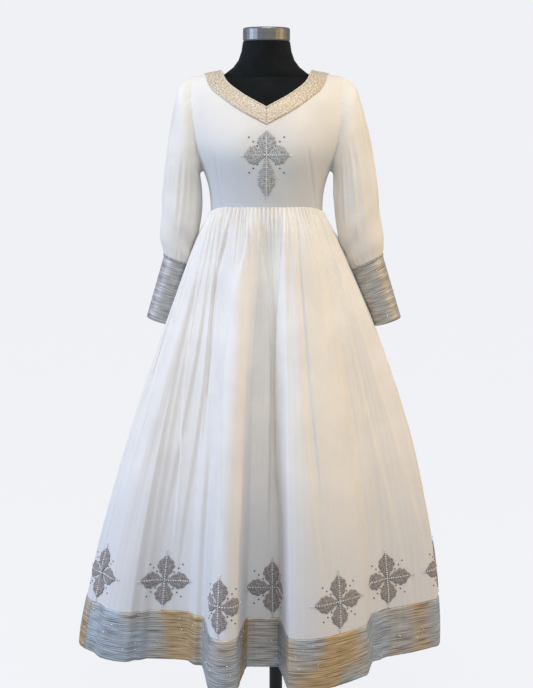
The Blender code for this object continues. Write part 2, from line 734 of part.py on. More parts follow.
def make_form():
    """The form's torso and neck, one closed body through level sections."""
    turn = np.linspace(0.0, 2 * math.pi, FORM_COLUMNS, endpoint=False)
    rings = []
    for height, half_width, front, back in FORM_SECTIONS[::-1]:
        depth = np.where(np.cos(turn) > 0, front, back)
        x = half_width * np.sin(turn)
        rings.append(np.column_stack([x, -depth * np.cos(turn), np.full(FORM_COLUMNS, height)]))
    grid = np.array(rings)
    index = np.arange(grid.shape[0] * FORM_COLUMNS).reshape(-1, FORM_COLUMNS)
    nxt = np.roll(index, -1, axis=1)
    faces = []
    for r in range(len(grid) - 1):
        for c in range(FORM_COLUMNS):
            faces += [(index[r, c], nxt[r, c], nxt[r + 1, c]), (index[r, c], nxt[r + 1, c], index[r + 1, c])]
    points = np.vstack([grid.reshape(-1, 3), grid[0].mean(axis=0), grid[-1].mean(axis=0)])
    ends = ((0, len(points) - 2), (len(grid) - 1, len(points) - 1))
    for r, hub in ends:
        faces += [(index[r, c], nxt[r, c], hub) for c in range(FORM_COLUMNS)]
    add_piece("form_torso", points, faces, "black_jersey")


def make_disc(name, radius, bottom, top, x, edge, material):
    """An upright round piece with softened rims."""
    bpy.ops.mesh.primitive_cylinder_add(
        vertices=DISC_SIDES, radius=radius, depth=top - bottom, location=(x, 0.0, (top + bottom) / 2)
    )
    piece = take_piece(name, material)
    if edge:
        bevel = piece.modifiers.new("rim", "BEVEL")
        bevel.width = edge
        bevel.segments = 2
        bevel.limit_method = "ANGLE"
    return piece


def make_stand():
    """Neck cap, pole and floor plate."""
    make_disc("form_neck_cap", CAP_RADIUS, CAP_BOTTOM, CAP_TOP, 0.0, CAP_EDGE, "satin_metal")
    pole_top = FORM_SECTIONS[0][0] - GAP
    make_disc("stand_pole", POLE_RADIUS, BASE_HEIGHT + GAP, pole_top, POLE_X, 0.0, "black_enamel")
    make_disc("stand_base", BASE_RADIUS, 0.0, BASE_HEIGHT, POLE_X, BASE_EDGE, "black_enamel")


clear_scene()
DRESS = new_collection("habesha_kemis_dress")
panels = make_bodice()
make_neck_band()
make_sleeves(panels)
make_skirt(panels)
make_chest_cross()
make_form()
make_stand()
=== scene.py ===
"""Looks of a habesha kemis, a white gathered dress with woven bands and crosses, on its form.

Metres, +Z up. The dress faces -Y and the wearer's left is at +X. Each piece of
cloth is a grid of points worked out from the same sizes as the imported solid
that it stands for, at a finer step. Folds, gathers and seams are added along
the cloth's own normals.
"""

import logging
import math
from dataclasses import dataclass, field
from enum import Enum

import bpy
import numpy as np
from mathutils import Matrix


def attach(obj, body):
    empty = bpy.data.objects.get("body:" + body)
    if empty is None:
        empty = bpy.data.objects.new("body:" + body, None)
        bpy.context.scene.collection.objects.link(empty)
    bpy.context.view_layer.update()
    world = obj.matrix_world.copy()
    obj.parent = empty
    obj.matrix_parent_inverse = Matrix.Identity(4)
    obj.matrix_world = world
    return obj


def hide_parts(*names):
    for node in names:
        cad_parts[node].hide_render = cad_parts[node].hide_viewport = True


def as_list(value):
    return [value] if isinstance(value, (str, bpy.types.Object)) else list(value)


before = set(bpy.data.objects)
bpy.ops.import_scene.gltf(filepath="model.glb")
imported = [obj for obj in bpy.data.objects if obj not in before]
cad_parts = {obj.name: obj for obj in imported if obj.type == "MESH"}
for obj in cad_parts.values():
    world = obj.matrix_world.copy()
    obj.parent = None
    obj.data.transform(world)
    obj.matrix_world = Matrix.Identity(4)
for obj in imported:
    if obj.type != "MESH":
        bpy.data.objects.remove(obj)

Array = np.ndarray
Node = bpy.types.Node
Piece = bpy.types.Object

log = logging.getLogger("kemis")

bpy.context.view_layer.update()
GAP = 0.0003  # air between two pieces at a seam
CLOTH = 0.0015  # wall of the white cloth
TILET = 0.0014  # wall of the woven band
THREAD = 0.0010  # wall of the embroidery
STONE_LIFT = 0.0006  # height of a stone's back over the cloth
CORD_SIDES = 8


class Side(Enum):
    """The two halves of a garment, with the sign of Y that each faces."""

    FRONT = -1
    BACK = 1


class Hand(Enum):
    """The wearer's hands, with the sign of X that each is on."""

    LEFT = 1
    RIGHT = -1


class Held(Enum):
    HUNG = "hung"
    GATHERED = "gathered"
    STRETCHED = "stretched"


# ---------------------------------------------------------------- curves


def unit(vectors: Array) -> Array:
    """The vectors at length 1, v / |v|."""
    return vectors / np.maximum(np.linalg.norm(vectors, axis=-1, keepdims=True), 1e-12)


def ease(value: Array, start: float, end: float) -> Array:
    """A soft step, 3s^2 - 2s^3 of the share s between start and end."""
    share = np.clip((value - start) / (end - start), 0.0, 1.0)
    return share * share * (3 - 2 * share)


def smooth(at: Array, knots: Array, values: Array) -> Array:
    """A cubic through knots, whose slope at each is that of its neighbours.

    p(t) = v0 (1-t)^2 (1+2t) + v1 t^2 (3-2t) + w (m0 t (1-t)^2 - m1 t^2 (1-t)).

    Args:
        at: Where to read the curve, of any shape when values has one axis.
        knots: Rising knots.
        values: One value, or one array of values, at each knot.

    Returns:
        The curve's values, with at's axes first.
    """
    at = np.asarray(at, float)
    knots = np.asarray(knots, float)
    values = np.asarray(values, float)
    slopes = np.gradient(values, knots, axis=0)
    at = np.clip(at, knots[0], knots[-1])
    k = np.clip(np.searchsorted(knots, at, side="right") - 1, 0, len(knots) - 2)
    spread = at.shape + (1,) * (values.ndim - 1)
    width = (knots[k + 1] - knots[k]).reshape(spread)
    t = ((at - knots[k]).reshape(spread)) / width
    level = values[k + 1] * t * t * (3 - 2 * t) + values[k] * (1 - t) ** 2 * (1 + 2 * t)
    return level + width * (slopes[k] * t * (1 - t) ** 2 - slopes[k + 1] * t * t * (1 - t))


def evenly(path: Array, shares: Array) -> Array:
    """Points at these shares of a path's own length."""
    reach = np.concatenate([[0.0], np.cumsum(np.linalg.norm(np.diff(path, axis=0), axis=1))])
    return np.stack([np.interp(shares * reach[-1], reach, column) for column in path.T], axis=1)


def along(points: Array, steps: int) -> Array:
    """A smooth path through points, cut into equal steps.

    Args:
        points: The points.
        steps: How many steps.

    Returns:
        The path's points, one more than the steps.
    """
    points = np.asarray(points, float)
    reach = np.concatenate([[0.0], np.cumsum(np.linalg.norm(np.diff(points, axis=0), axis=1))])
    fine = smooth(np.linspace(0.0, reach[-1], 40 * len(points)), reach, points)
    return evenly(fine, np.linspace(0, 1, steps + 1))


def wander(at: Array, waves: int, seed: int) -> Array:
    """A slow uneven wave of period 1, the mean of sin(2 pi k at + phase) for small whole k.

    Args:
        at: Share of the way round.
        waves: How many waves.
        seed: Seed of their draws.

    Returns:
        The wave at each share.
    """
    dice = np.random.default_rng(seed)
    turns = dice.integers(2, 11, waves)
    phases = dice.uniform(0, 2 * math.pi, waves)
    return np.sin(2 * math.pi * np.multiply.outer(at, turns) + phases).mean(axis=-1)


def pleats(at: Array, count: int, seed: int, sharp: float = 1.0) -> Array:
    """Uneven pleats round a ring, ((1 + cos f) / 2)^sharp less its mean.

    f is 2 pi (count at + 0.9 wander), so the spacing keeps changing, and a second
    wander makes some ridges higher than others.

    Args:
        at: Share of the way round.
        count: How many pleats.
        seed: Seed of the wanders.
        sharp: How narrow the ridges are.

    Returns:
        The height at each share.
    """
    turn = 2 * math.pi * (count * at + 0.9 * wander(at, 5, seed))
    height = 1 + 0.9 * wander(at, 6, seed + 1)
    wave = (0.5 + 0.5 * np.cos(turn)) ** sharp
    return (wave - 0.42) * height


def laps(at: Array, count: int, seed: int) -> Array:
    """Uneven lapped folds round a ring, each of which climbs slowly and drops at a soft edge.

    With t the share of the way through a fold, h = t^1.1 (1 - ease(t, 0.80, 1)) less its
    mean. A wander changes each fold's width, and a second one its height.

    Args:
        at: Share of the way round.
        count: How many folds.
        seed: Seed of the wanders.

    Returns:
        The height at each share.
    """
    turn = (count * at + 1.1 * wander(at, 5, seed)) % 1.0
    height = 1 + 1.1 * wander(at, 7, seed + 1)
    return (turn**1.1 * (1 - ease(turn, 0.80, 1.0)) - 0.40) * height


# ---------------------------------------------------------------- cloth on a grid


@dataclass
class Patch:
    """A surface of cloth on a grid of points.

    points has rows, columns and 3. A closed patch joins its last column to its
    first. facing is 1 where down x across points outwards, and -1 where it points in.
    """

    points: Array
    closed: bool = False
    facing: int = 1

    def normals(self) -> Array:
        """Outward normals, the unit of (way down) x (way across).

        Returns:
            A normal at each point.
        """
        if self.closed:
            across = np.roll(self.points, -1, axis=1) - np.roll(self.points, 1, axis=1)
        else:
            across = np.gradient(self.points, axis=1)
        down = np.gradient(self.points, axis=0)
        return unit(np.cross(down, across)) * self.facing

    def lifted(self, distance: Array | float) -> "Patch":
        """The patch moved out along its normals, p + n d.

        Args:
            distance: How far, one for all or one a point.

        Returns:
            The new patch.
        """
        distance = np.asarray(distance, float)
        if distance.ndim:
            distance = distance[..., None]
        return Patch(self.points + self.normals() * distance, self.closed, self.facing)

    def quads(self) -> Array:
        """Corner numbers of the cells, turning left as seen from outside.

        Returns:
            Four corner numbers a cell.
        """
        rows, columns = self.points.shape[:2]
        index = np.arange(rows * columns).reshape(rows, columns)
        here = index if self.closed else index[:, :-1]
        right = np.roll(index, -1, axis=1) if self.closed else index[:, 1:]
        cells = np.stack([here[:-1], here[1:], right[1:], right[:-1]], axis=-1)
        return (cells if self.facing > 0 else cells[..., ::-1]).reshape(-1, 4)

    def flat(self) -> Array:
        """Flat lengths at each cell's corners, in metres, as across and down.

        Across is measured on the widest row, and down on the mean of the columns.

        Returns:
            Across and down at each cell's corners, in the order of quads.
        """
        points = self.points
        around = np.concatenate([points, points[:, :1]], axis=1) if self.closed else points
        widths = np.linalg.norm(np.diff(around, axis=1), axis=2)
        across = np.concatenate([[0.0], np.cumsum(widths[np.argmax(widths.sum(axis=1))])])
        down = np.concatenate([[0.0], np.cumsum(np.linalg.norm(np.diff(points, axis=0), axis=2).mean(axis=1))])
        u, v = np.meshgrid(across, down)
        grid = np.stack([u, v], axis=-1)
        cells = np.stack([grid[:-1, :-1], grid[1:, :-1], grid[1:, 1:], grid[:-1, 1:]], axis=2)
        return (cells if self.facing > 0 else cells[:, :, ::-1]).reshape(-1, 2)


def rope(points: Array, normals: Array, across: Array, radius: float, facing: int = 1) -> Patch:
    """A round edge cord along a closed path, p + r (n cos a + b sin a).

    Args:
        points: The path p, whose end joins its start.
        normals: The ways n out from the cloth.
        across: The ways b across the path.
        radius: Radius r of the cord.
        facing: As a patch has it.

    Returns:
        The cord's surface.
    """
    turn = np.linspace(0, 2 * math.pi, CORD_SIDES, endpoint=False)[:, None, None]
    ring = points[None] + radius * (normals[None] * np.cos(turn) + across * np.sin(turn))
    rows = np.swapaxes(ring, 0, 1)
    return Patch(np.concatenate([rows, rows[:1]]), closed=True, facing=facing)


def stitch(name: str, patches: list[Patch], finish: "Finish", wall: float = 0.0) -> Piece:
    """Makes one piece from patches.

    Args:
        name: The piece's name.
        patches: Its surfaces.
        finish: What it is made of.
        wall: Thickness of the cloth, taken inwards. 0 leaves one layer.

    Returns:
        The piece, whose place is in its mesh.
    """
    starts = np.cumsum([0] + [p.points.shape[0] * p.points.shape[1] for p in patches])
    points = np.concatenate([p.points.reshape(-1, 3) for p in patches])
    faces = np.concatenate([p.quads() + start for p, start in zip(patches, starts)])
    piece = mesh_piece(name, points, faces, finish, np.concatenate([p.flat() for p in patches]))
    if wall:
        shell = piece.modifiers.new("wall", "SOLIDIFY")
        shell.thickness = wall
        shell.offset = -1.0
    return piece


def mesh_piece(name: str, points: Array, faces: Array, finish: "Finish", flat: Array | None = None) -> Piece:
    """Makes a piece from points and faces of one size.

    Args:
        name: The piece's name.
        points: Its corners.
        faces: Corner numbers, one row a face.
        finish: What it is made of.
        flat: Flat lengths at each face's corners, for a finish that follows the cloth.

    Returns:
        The piece.
    """
    mesh = bpy.data.meshes.new(name)
    mesh.vertices.add(len(points))
    mesh.vertices.foreach_set("co", points.astype(np.float32).ravel())
    mesh.loops.add(faces.size)
    mesh.loops.foreach_set("vertex_index", faces.astype(np.int32).ravel())
    mesh.polygons.add(len(faces))
    mesh.polygons.foreach_set("loop_start", np.arange(0, faces.size, faces.shape[1], dtype=np.int32))
    mesh.update(calc_edges=True)
    if flat is not None:
        layer = mesh.uv_layers.new(name="cloth")
        layer.data.foreach_set("uv", flat.astype(np.float32).ravel())
    if finish.soft:
        mesh.shade_smooth()
    mesh.materials.append(finish.material())
    piece = bpy.data.objects.new(name, mesh)
    bpy.context.scene.collection.objects.link(piece)
    return piece


def settle(piece: Piece, slot: str, *nodes: str) -> Piece:
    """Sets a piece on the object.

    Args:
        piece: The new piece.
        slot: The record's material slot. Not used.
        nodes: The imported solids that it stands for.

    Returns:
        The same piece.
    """
    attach(piece, "root")
    if nodes:
        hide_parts(*nodes)
    log.info("%s: %d faces", piece.name, len(piece.data.polygons))
    return piece


# ---------------------------------------------------------------- finishes


def linear(code: str) -> tuple[float, float, float, float]:
    """A colour written in sRGB hex as linear light, with alpha 1."""
    values = [int(code[k : k + 2], 16) / 255 for k in (1, 3, 5)]
    return (*[v / 12.92 if v <= 0.04045 else ((v + 0.055) / 1.055) ** 2.4 for v in values], 1.0)


def fill(node: Node, inputs: dict) -> None:
    """Puts a value, or a link from a socket, into each named or numbered input of a node.

    Args:
        node: The node.
        inputs: What goes into each input.
    """
    for key, value in inputs.items():
        if isinstance(value, bpy.types.NodeSocket):
            node.id_data.links.new(value, node.inputs[key])
        else:
            node.inputs[key].default_value = value


def add_node(
    tree: bpy.types.NodeTree, kind: str, inputs: dict | None = None, stops: tuple = (), **settings: object
) -> Node:
    """Adds a node.

    Args:
        tree: The material's node tree.
        kind: The shader node's type, such as Bump.
        inputs: Value or socket to put into each named or numbered input.
        stops: For a colour ramp, places from 0 to 1, each with its sRGB hex colour.
        settings: The node's own properties.

    Returns:
        The node.
    """
    node = tree.nodes.new("ShaderNode" + kind)
    for key, value in settings.items():
        setattr(node, key, value)
    fill(node, inputs or {})
    if stops:
        line = node.color_ramp.elements
        line[0].position, line[1].position = stops[0][0], stops[-1][0]
        for place, _ in stops[1:-1]:
            line.new(place)
        for element, (_, code) in zip(line, stops):
            element.color = linear(code)
    return node


def wave_scale(spacing: float) -> float:
    """Scale of a wave texture whose bands come this far apart in metres, pi / (10 spacing)."""
    return math.pi / (10 * spacing)


@dataclass(frozen=True)
class Finish:
    """What a piece is made of. Each kind draws its own nodes."""

    name: str = "plain"
    soft: bool = True

    def material(self) -> bpy.types.Material:
        """The material, made once.

        Returns:
            The material.
        """
        made = bpy.data.materials.get(self.name)
        if made is None:
            made = bpy.data.materials.new(self.name)
            made.use_nodes = True
            self.draw(made.node_tree, made.node_tree.nodes["Principled BSDF"])
        return made

    def draw(self, tree: bpy.types.NodeTree, shader: Node) -> None:
        """Draws the finish into a node tree."""
        raise NotImplementedError


@dataclass(frozen=True)
class Chiffon(Finish):
    """Polyester chiffon over a lining: matt, faintly uneven white, crepe-fine weave, soft sheen."""

    name: str = "chiffon"
    light: str = "#F3F0EC"
    dark: str = "#E6E3E0"
    clouds: float = 9.0  # a change of tone about every 110 mm
    thread: float = 0.0024  # real threads are 0.3 mm apart, drawn coarser so that they show
    crepe: float = 260.0  # crinkles about 4 mm apart, drawn coarser too
    shadow: tuple = ()  # height, and width of the change, below which the cloth is painted greyer, a painted shade
    # grey of the painted shade, on the bodice also the dark form through the thin cloth
    under: str = "#C4C7CB"

    def draw(self, tree: bpy.types.NodeTree, shader: Node) -> None:
        """Crossed waves for the weave, over a slow change of tone.

        Args:
            tree: The material's node tree.
            shader: Its Principled shader.
        """
        place = add_node(tree, "TexCoord").outputs["Object"]
        tone = add_node(tree, "TexNoise", {"Vector": place, "Scale": self.clouds, "Detail": 4.0})
        stops = ((0.3, self.dark), (0.7, self.light))
        colour = add_node(tree, "ValToRGB", {"Fac": tone.outputs["Fac"]}, stops).outputs["Color"]
        # Painted shade: below a height the colour turns towards the grey under.
        if self.shadow:
            level, width = self.shadow
            height = add_node(tree, "SeparateXYZ", {"Vector": place}).outputs["Z"]
            ends = {"Value": height, "From Min": level + width, "From Max": level - width}
            share = add_node(tree, "MapRange", ends, interpolation_type="SMOOTHSTEP").outputs[0]
            both = {"Factor": share, 6: colour, 7: linear(self.under)}
            colour = add_node(tree, "Mix", both, data_type="RGBA").outputs[2]
        threads = {"Vector": place, "Scale": wave_scale(self.thread), "Distortion": 1.5, "Detail": 1.0}
        weft, warp = [add_node(tree, "TexWave", threads, bands_direction=way).outputs["Fac"] for way in "ZX"]
        weave = add_node(tree, "Math", {0: weft, 1: warp}, operation="ADD").outputs[0]
        crepe = add_node(tree, "TexNoise", {"Vector": place, "Scale": self.crepe, "Detail": 2.0})
        relief = add_node(tree, "Math", {0: weave, 1: crepe.outputs["Fac"]}, operation="ADD").outputs[0]
        bump = add_node(tree, "Bump", {"Strength": 0.10, "Distance": 0.0005, "Height": relief})
        fill(shader, {"Base Color": colour, "Normal": bump.outputs["Normal"], "Roughness": 0.82})
        fill(shader, {"Sheen Weight": 0.25, "Sheen Roughness": 0.5, "Specular IOR Level": 0.25})


@dataclass(frozen=True)
class Tilet(Finish):
    """Woven metallic trimming: cords of silver and champagne thread with a satin glint."""

    name: str = "silver_thread_tilet"
    light: str = "#FFFFFF"
    middle: str = "#DEDCD9"
    dark: str = "#A09A94"
    cord: float = 0.0048  # real cords are about 2.5 mm apart, drawn coarser so that they show
    streak: tuple = (16.0, 270.0, 1.0)  # real slubs are 40 mm long and 1 mm high, drawn coarser too
    grain: float = 420.0  # single threads about 2.4 mm apart, drawn coarser too
    uneven: float = 2.2
    metal: float = 0.50
    relief: float = 0.30
    painted_lamp_tints: tuple = ()  # painted reflections: tints of the cool and the warm lamp that the band takes by turns
    patch: tuple = (5.5, 3.0, 1.0)  # about one change of tint in 180 mm along the band

    def draw(self, tree: bpy.types.NodeTree, shader: Node) -> None:
        """Cords along the band, with streaks of lighter and darker thread in them.

        Args:
            tree: The material's node tree.
            shader: Its Principled shader.
        """
        place = add_node(tree, "UVMap", uv_map="cloth").outputs["UV"]
        waves = {"Scale": wave_scale(self.cord), "Distortion": self.uneven, "Detail": 2.0, "Detail Scale": 0.6}
        cords = add_node(tree, "TexWave", {"Vector": place, **waves}, bands_direction="Y")
        drawn = add_node(tree, "Mapping", {"Vector": place, "Scale": self.streak}).outputs[0]
        streaks = add_node(tree, "TexNoise", {"Vector": drawn, "Scale": 1.0, "Detail": 3.0})
        grain = add_node(tree, "TexNoise", {"Vector": place, "Scale": self.grain, "Detail": 2.0})
        tone = streaks.outputs["Fac"]
        for part, weight in ((cords, 0.12), (grain, 0.16)):
            add = {0: part.outputs["Fac"], 1: weight, 2: tone}
            tone = add_node(tree, "Math", add, operation="MULTIPLY_ADD").outputs[0]
        stops = ((0.46, self.dark), (0.64, self.middle), (0.84, self.light))
        colour = add_node(tree, "ValToRGB", {"Fac": tone}, stops).outputs["Color"]
        # Painted reflections: patches tinted with the colours of the cool and the warm lamp, multiplied into the band's
        # colour.
        if self.painted_lamp_tints:
            wide = add_node(tree, "Mapping", {"Vector": place, "Scale": self.patch}).outputs[0]
            turns = add_node(tree, "TexNoise", {"Vector": wide, "Scale": 1.0, "Detail": 1.0})
            stops = tuple(zip((0.42, 0.50, 0.58), self.painted_lamp_tints))
            painted_reflection = add_node(tree, "ValToRGB", {"Fac": turns.outputs["Fac"]}, stops).outputs["Color"]
            both = {"Factor": 1.0, 6: colour, 7: painted_reflection}
            colour = add_node(tree, "Mix", both, data_type="RGBA", blend_type="MULTIPLY").outputs[2]
        bump = add_node(tree, "Bump", {"Strength": self.relief, "Distance": 0.0016, "Height": tone})
        fill(shader, {"Base Color": colour, "Normal": bump.outputs["Normal"]})
        fill(shader, {"Metallic": self.metal, "Roughness": 0.52})


@dataclass(frozen=True)
class SatinStitch(Finish):
    """Grey rayon satin stitch over padding: close threads across each leaf, with a silky glint."""

    name: str = "satin_stitch"
    light: str = "#ABA5A4"
    dark: str = "#6F6A6B"
    thread: float = 0.0050  # real threads are 0.4 mm apart, drawn coarser so that they show
    grain: float = 170.0  # broken stitches about 6 mm apart

    def draw(self, tree: bpy.types.NodeTree, shader: Node) -> None:
        """Waves across the leaf, broken by a fine grain.

        Args:
            tree: The material's node tree.
            shader: Its Principled shader.
        """
        place = add_node(tree, "UVMap", uv_map="cloth").outputs["UV"]
        waves = {"Vector": place, "Scale": wave_scale(self.thread), "Distortion": 2.5, "Detail": 2.0}
        rows = add_node(tree, "TexWave", waves, bands_direction="Y").outputs["Fac"]
        grain = add_node(tree, "TexNoise", {"Vector": place, "Scale": self.grain, "Detail": 2.0})
        add = {0: rows, 1: 0.16, 2: grain.outputs["Fac"]}
        tone = add_node(tree, "Math", add, operation="MULTIPLY_ADD").outputs[0]
        stops = ((0.38, self.dark), (0.80, self.light))
        colour = add_node(tree, "ValToRGB", {"Fac": tone}, stops).outputs["Color"]
        bump = add_node(tree, "Bump", {"Strength": 0.6, "Distance": 0.001, "Height": tone})
        fill(shader, {"Base Color": colour, "Normal": bump.outputs["Normal"]})
        fill(shader, {"Roughness": 0.5, "Sheen Weight": 0.2})


@dataclass(frozen=True)
class Glass(Finish):
    """Pressed glass beads and crystals: clean facets that catch the lights as points."""

    name: str = "glass_bead"
    soft: bool = False
    code: str = "#5A6473"
    metal: float = 0.6
    roughness: float = 0.12

    def draw(self, tree: bpy.types.NodeTree, shader: Node) -> None:
        """One colour under a bright coat, with a change about every 7 mm, so from bead to bead.

        Args:
            tree: The material's node tree.
            shader: Its Principled shader.
        """
        place = add_node(tree, "TexCoord").outputs["Object"]
        change = add_node(tree, "TexNoise", {"Vector": place, "Scale": 150.0}).outputs["Fac"]
        value = add_node(tree, "Math", {0: change, 1: 1.4, 2: 0.3}, operation="MULTIPLY_ADD").outputs[0]
        colour = add_node(tree, "HueSaturation", {"Color": linear(self.code), "Value": value})
        fill(shader, {"Base Color": colour.outputs["Color"], "Metallic": self.metal})
        fill(shader, {"Roughness": self.roughness, "Coat Weight": 0.6})


@dataclass(frozen=True)
class Jersey(Finish):
    """Black cotton jersey pulled over the form: fine knit, dull, with a faint sheen."""

    name: str = "cotton_jersey"
    rib: float = 0.003  # real ribs are 0.8 mm apart, drawn coarser so that they show

    def draw(self, tree: bpy.types.NodeTree, shader: Node) -> None:
        """A knit of fine ribs, over a slow change of tone.

        Args:
            tree: The material's node tree.
            shader: Its Principled shader.
        """
        place = add_node(tree, "TexCoord").outputs["Object"]
        tone = add_node(tree, "TexNoise", {"Vector": place, "Scale": 30.0, "Detail": 5.0})
        stops = ((0.3, "#0B0F11"), (0.75, "#14191C"))
        colour = add_node(tree, "ValToRGB", {"Fac": tone.outputs["Fac"]}, stops).outputs["Color"]
        ribs = {"Vector": place, "Scale": wave_scale(self.rib), "Distortion": 1.0}
        knit = add_node(tree, "TexWave", ribs, bands_direction="X").outputs["Fac"]
        bump = add_node(tree, "Bump", {"Strength": 0.3, "Distance": 0.0004, "Height": knit})
        fill(shader, {"Base Color": colour, "Normal": bump.outputs["Normal"], "Roughness": 0.8})
        fill(shader, {"Sheen Weight": 0.03, "Specular IOR Level": 0.15})


@dataclass(frozen=True)
class SatinMetal(Finish):
    """Turned and satin-finished aluminium: level brush lines and a soft wide glint."""

    name: str = "satin_aluminium"
    brush: tuple = (6.0, 6.0, 900.0)  # lines about 1 mm apart, and long round the cap

    def draw(self, tree: bpy.types.NodeTree, shader: Node) -> None:
        """Noise drawn out round the cap for its brush lines.

        Args:
            tree: The material's node tree.
            shader: Its Principled shader.
        """
        place = add_node(tree, "TexCoord").outputs["Object"]
        drawn = add_node(tree, "Mapping", {"Vector": place, "Scale": self.brush}).outputs[0]
        lines = add_node(tree, "TexNoise", {"Vector": drawn, "Scale": 1.0, "Detail": 3.0}).outputs["Fac"]
        stops = ((0.3, "#707274"), (0.7, "#88898A"))
        colour = add_node(tree, "ValToRGB", {"Fac": lines}, stops).outputs["Color"]
        bump = add_node(tree, "Bump", {"Strength": 0.15, "Distance": 0.0004, "Height": lines})
        fill(shader, {"Base Color": colour, "Normal": bump.outputs["Normal"]})
        fill(shader, {"Metallic": 0.85, "Roughness": 0.42})


@dataclass(frozen=True)
class Enamel(Finish):
    """Black stoving enamel on steel: even, half gloss, with a faint orange peel."""

    name: str = "stoved_enamel"
    peel: float = 320.0  # ripples about 3 mm apart

    def draw(self, tree: bpy.types.NodeTree, shader: Node) -> None:
        """A fine ripple, and roughness that changes a little with handling.

        Args:
            tree: The material's node tree.
            shader: Its Principled shader.
        """
        place = add_node(tree, "TexCoord").outputs["Object"]
        peel = add_node(tree, "TexNoise", {"Vector": place, "Scale": self.peel, "Detail": 1.0}).outputs["Fac"]
        wear = add_node(tree, "TexNoise", {"Vector": place, "Scale": 25.0, "Detail": 4.0}).outputs["Fac"]
        stops = ((0.3, "#15181A"), (0.8, "#1F2325"))
        colour = add_node(tree, "ValToRGB", {"Fac": wear}, stops).outputs["Color"]
        rough = add_node(tree, "Math", {0: wear, 1: 0.2, 2: 0.28}, operation="MULTIPLY_ADD").outputs[0]
        bump = add_node(tree, "Bump", {"Strength": 0.08, "Distance": 0.0003, "Height": peel})
        fill(shader, {"Base Color": colour, "Normal": bump.outputs["Normal"], "Roughness": rough})


@dataclass(frozen=True)
class Paper(Finish):
    """Matt studio paper, plain and pale."""

    name: str = "studio_paper"
    code: str = "#3C3D40"
    glow_code: str = "#F0F1F5"
    lit: float = 0.42  # how much of the glow falls on the dress
    glow: float = 0.975  # evens out the falling-off of the lights, so that the floor stays pale far away

    def draw(self, tree: bpy.types.NodeTree, shader: Node) -> None:
        """One colour, with an even glow of its own.

        Args:
            tree: The material's node tree.
            shader: Its Principled shader.
        """
        looked_at = add_node(tree, "LightPath").outputs["Is Camera Ray"]
        rise = {0: looked_at, 1: self.glow - self.lit, 2: self.lit}
        glow = add_node(tree, "Math", rise, operation="MULTIPLY_ADD").outputs[0]
        fill(shader, {"Base Color": linear(self.code), "Roughness": 1.0, "Specular IOR Level": 0.0})
        fill(shader, {"Emission Color": linear(self.glow_code), "Emission Strength": glow})


# The skirt is painted greyer below 0.62 m, painted shade over its lower part. The bodice is painted greyer below 1.485
# m, partly the dark form through the thin cloth and partly painted shade.
LINED_CHIFFON = Chiffon(shadow=(0.62, 0.26), under="#D9DADD")
BODICE_CHIFFON = Chiffon(name="bodice_chiffon", light="#F1EDE7", dark="#E6E2DD", shadow=(1.485, 0.075), under="#CBCED1")
SLEEVE_CHIFFON = Chiffon(name="sleeve_chiffon", light="#F3EFE8", dark="#E3DFD9")
# The cool blue and the tan tints of the silver band are painted reflections of the cool and the warm lamp.
SILVER_TILET = Tilet(painted_lamp_tints=("#CBD8E6", "#D3D1CE", "#DFC59C"))
CUFF_TILET = Tilet("cuff_tilet", light="#DADAD8", middle="#B6B5B3", dark="#8C8986", metal=0.40)
CHAMPAGNE_TILET = Tilet(
    "champagne_thread_tilet",
    light="#F0E5D4",
    middle="#D2C4AF",
    dark="#B09E82",
    streak=(210.0, 270.0, 1.0),
    uneven=9.0,
    metal=0.15,
)
PIPING = Tilet("piping", light="#EFE8DC", middle="#DCD2C2", dark="#B5A68E", cord=0.004, metal=0.1)
SILVER_CORD = Tilet("silver_cord", light="#E2E2E2", middle="#C4C4C2", dark="#8C8B88", cord=0.004, metal=0.4)
GREY_EMBROIDERY = SatinStitch()
SILVER_EMBROIDERY = SatinStitch("silver_satin_stitch", light="#C6C6C3", dark="#7E8082")
DARK_BEAD = Glass()
SILVER_BEAD = Glass("silver_bead", code="#DCE3EA", metal=0.25, roughness=0.2)
CRYSTAL = Glass("crystal", code="#E6EBF2", metal=0.75, roughness=0.08)
BLACK_JERSEY = Jersey()
SATIN_METAL = SatinMetal()
BLACK_ENAMEL = Enamel()
STUDIO_PAPER = Paper()


# ---------------------------------------------------------------- beads


def gem(sides: int = 6) -> tuple[Array, Array]:
    """A cut stone of radius 1 that sits on its flat back: a rim, a smaller table and a hub at each end.

    Args:
        sides: How many sides it has.

    Returns:
        Its corners, and its faces as corner numbers.
    """
    turn = np.arange(sides) * 2 * math.pi / sides
    ring = np.column_stack([np.cos(turn), np.sin(turn), np.ones(sides)])
    rings = [ring * (radius, radius, height) for radius, height in ((1, 0), (0.62, 0.55))]
    corners = np.vstack([*rings, [[0, 0, 0.62], [0, 0, -0.25]]])
    k = np.arange(sides)
    n = (k + 1) % sides
    top, back = 2 * sides, 2 * sides + 1
    faces = [
        np.column_stack([k, n, n + sides]),
        np.column_stack([k, n + sides, k + sides]),
        np.column_stack([k + sides, n + sides, np.full(sides, top)]),
        np.column_stack([n, k, np.full(sides, back)]),
    ]
    return corners, np.concatenate(faces)


def string_beads(name: str, places: Array, normals: Array, radii: Array, finish: Finish) -> Piece:
    """Sets a stone at each place, p + r (x a + y b + z n), where a and b are any two ways square to n.

    Args:
        name: The piece's name.
        places: Where each stone sits.
        normals: The way each faces.
        radii: Each one's radius.
        finish: What they are made of.

    Returns:
        One piece of all the stones.
    """
    corners, faces = gem()
    normals = unit(normals)
    side = unit(np.cross(normals, np.array([0.13, 0.21, 0.97])))
    other = np.cross(normals, side)
    axes = np.stack([side, other, normals], axis=1)
    points = places[:, None] + np.einsum("kc,ncd->nkd", corners, axes) * radii[:, None, None]
    numbers = faces[None] + (np.arange(len(places)) * len(corners))[:, None, None]
    return mesh_piece(name, points.reshape(-1, 3), numbers.reshape(-1, 3), finish)


# ---------------------------------------------------------------- bodice


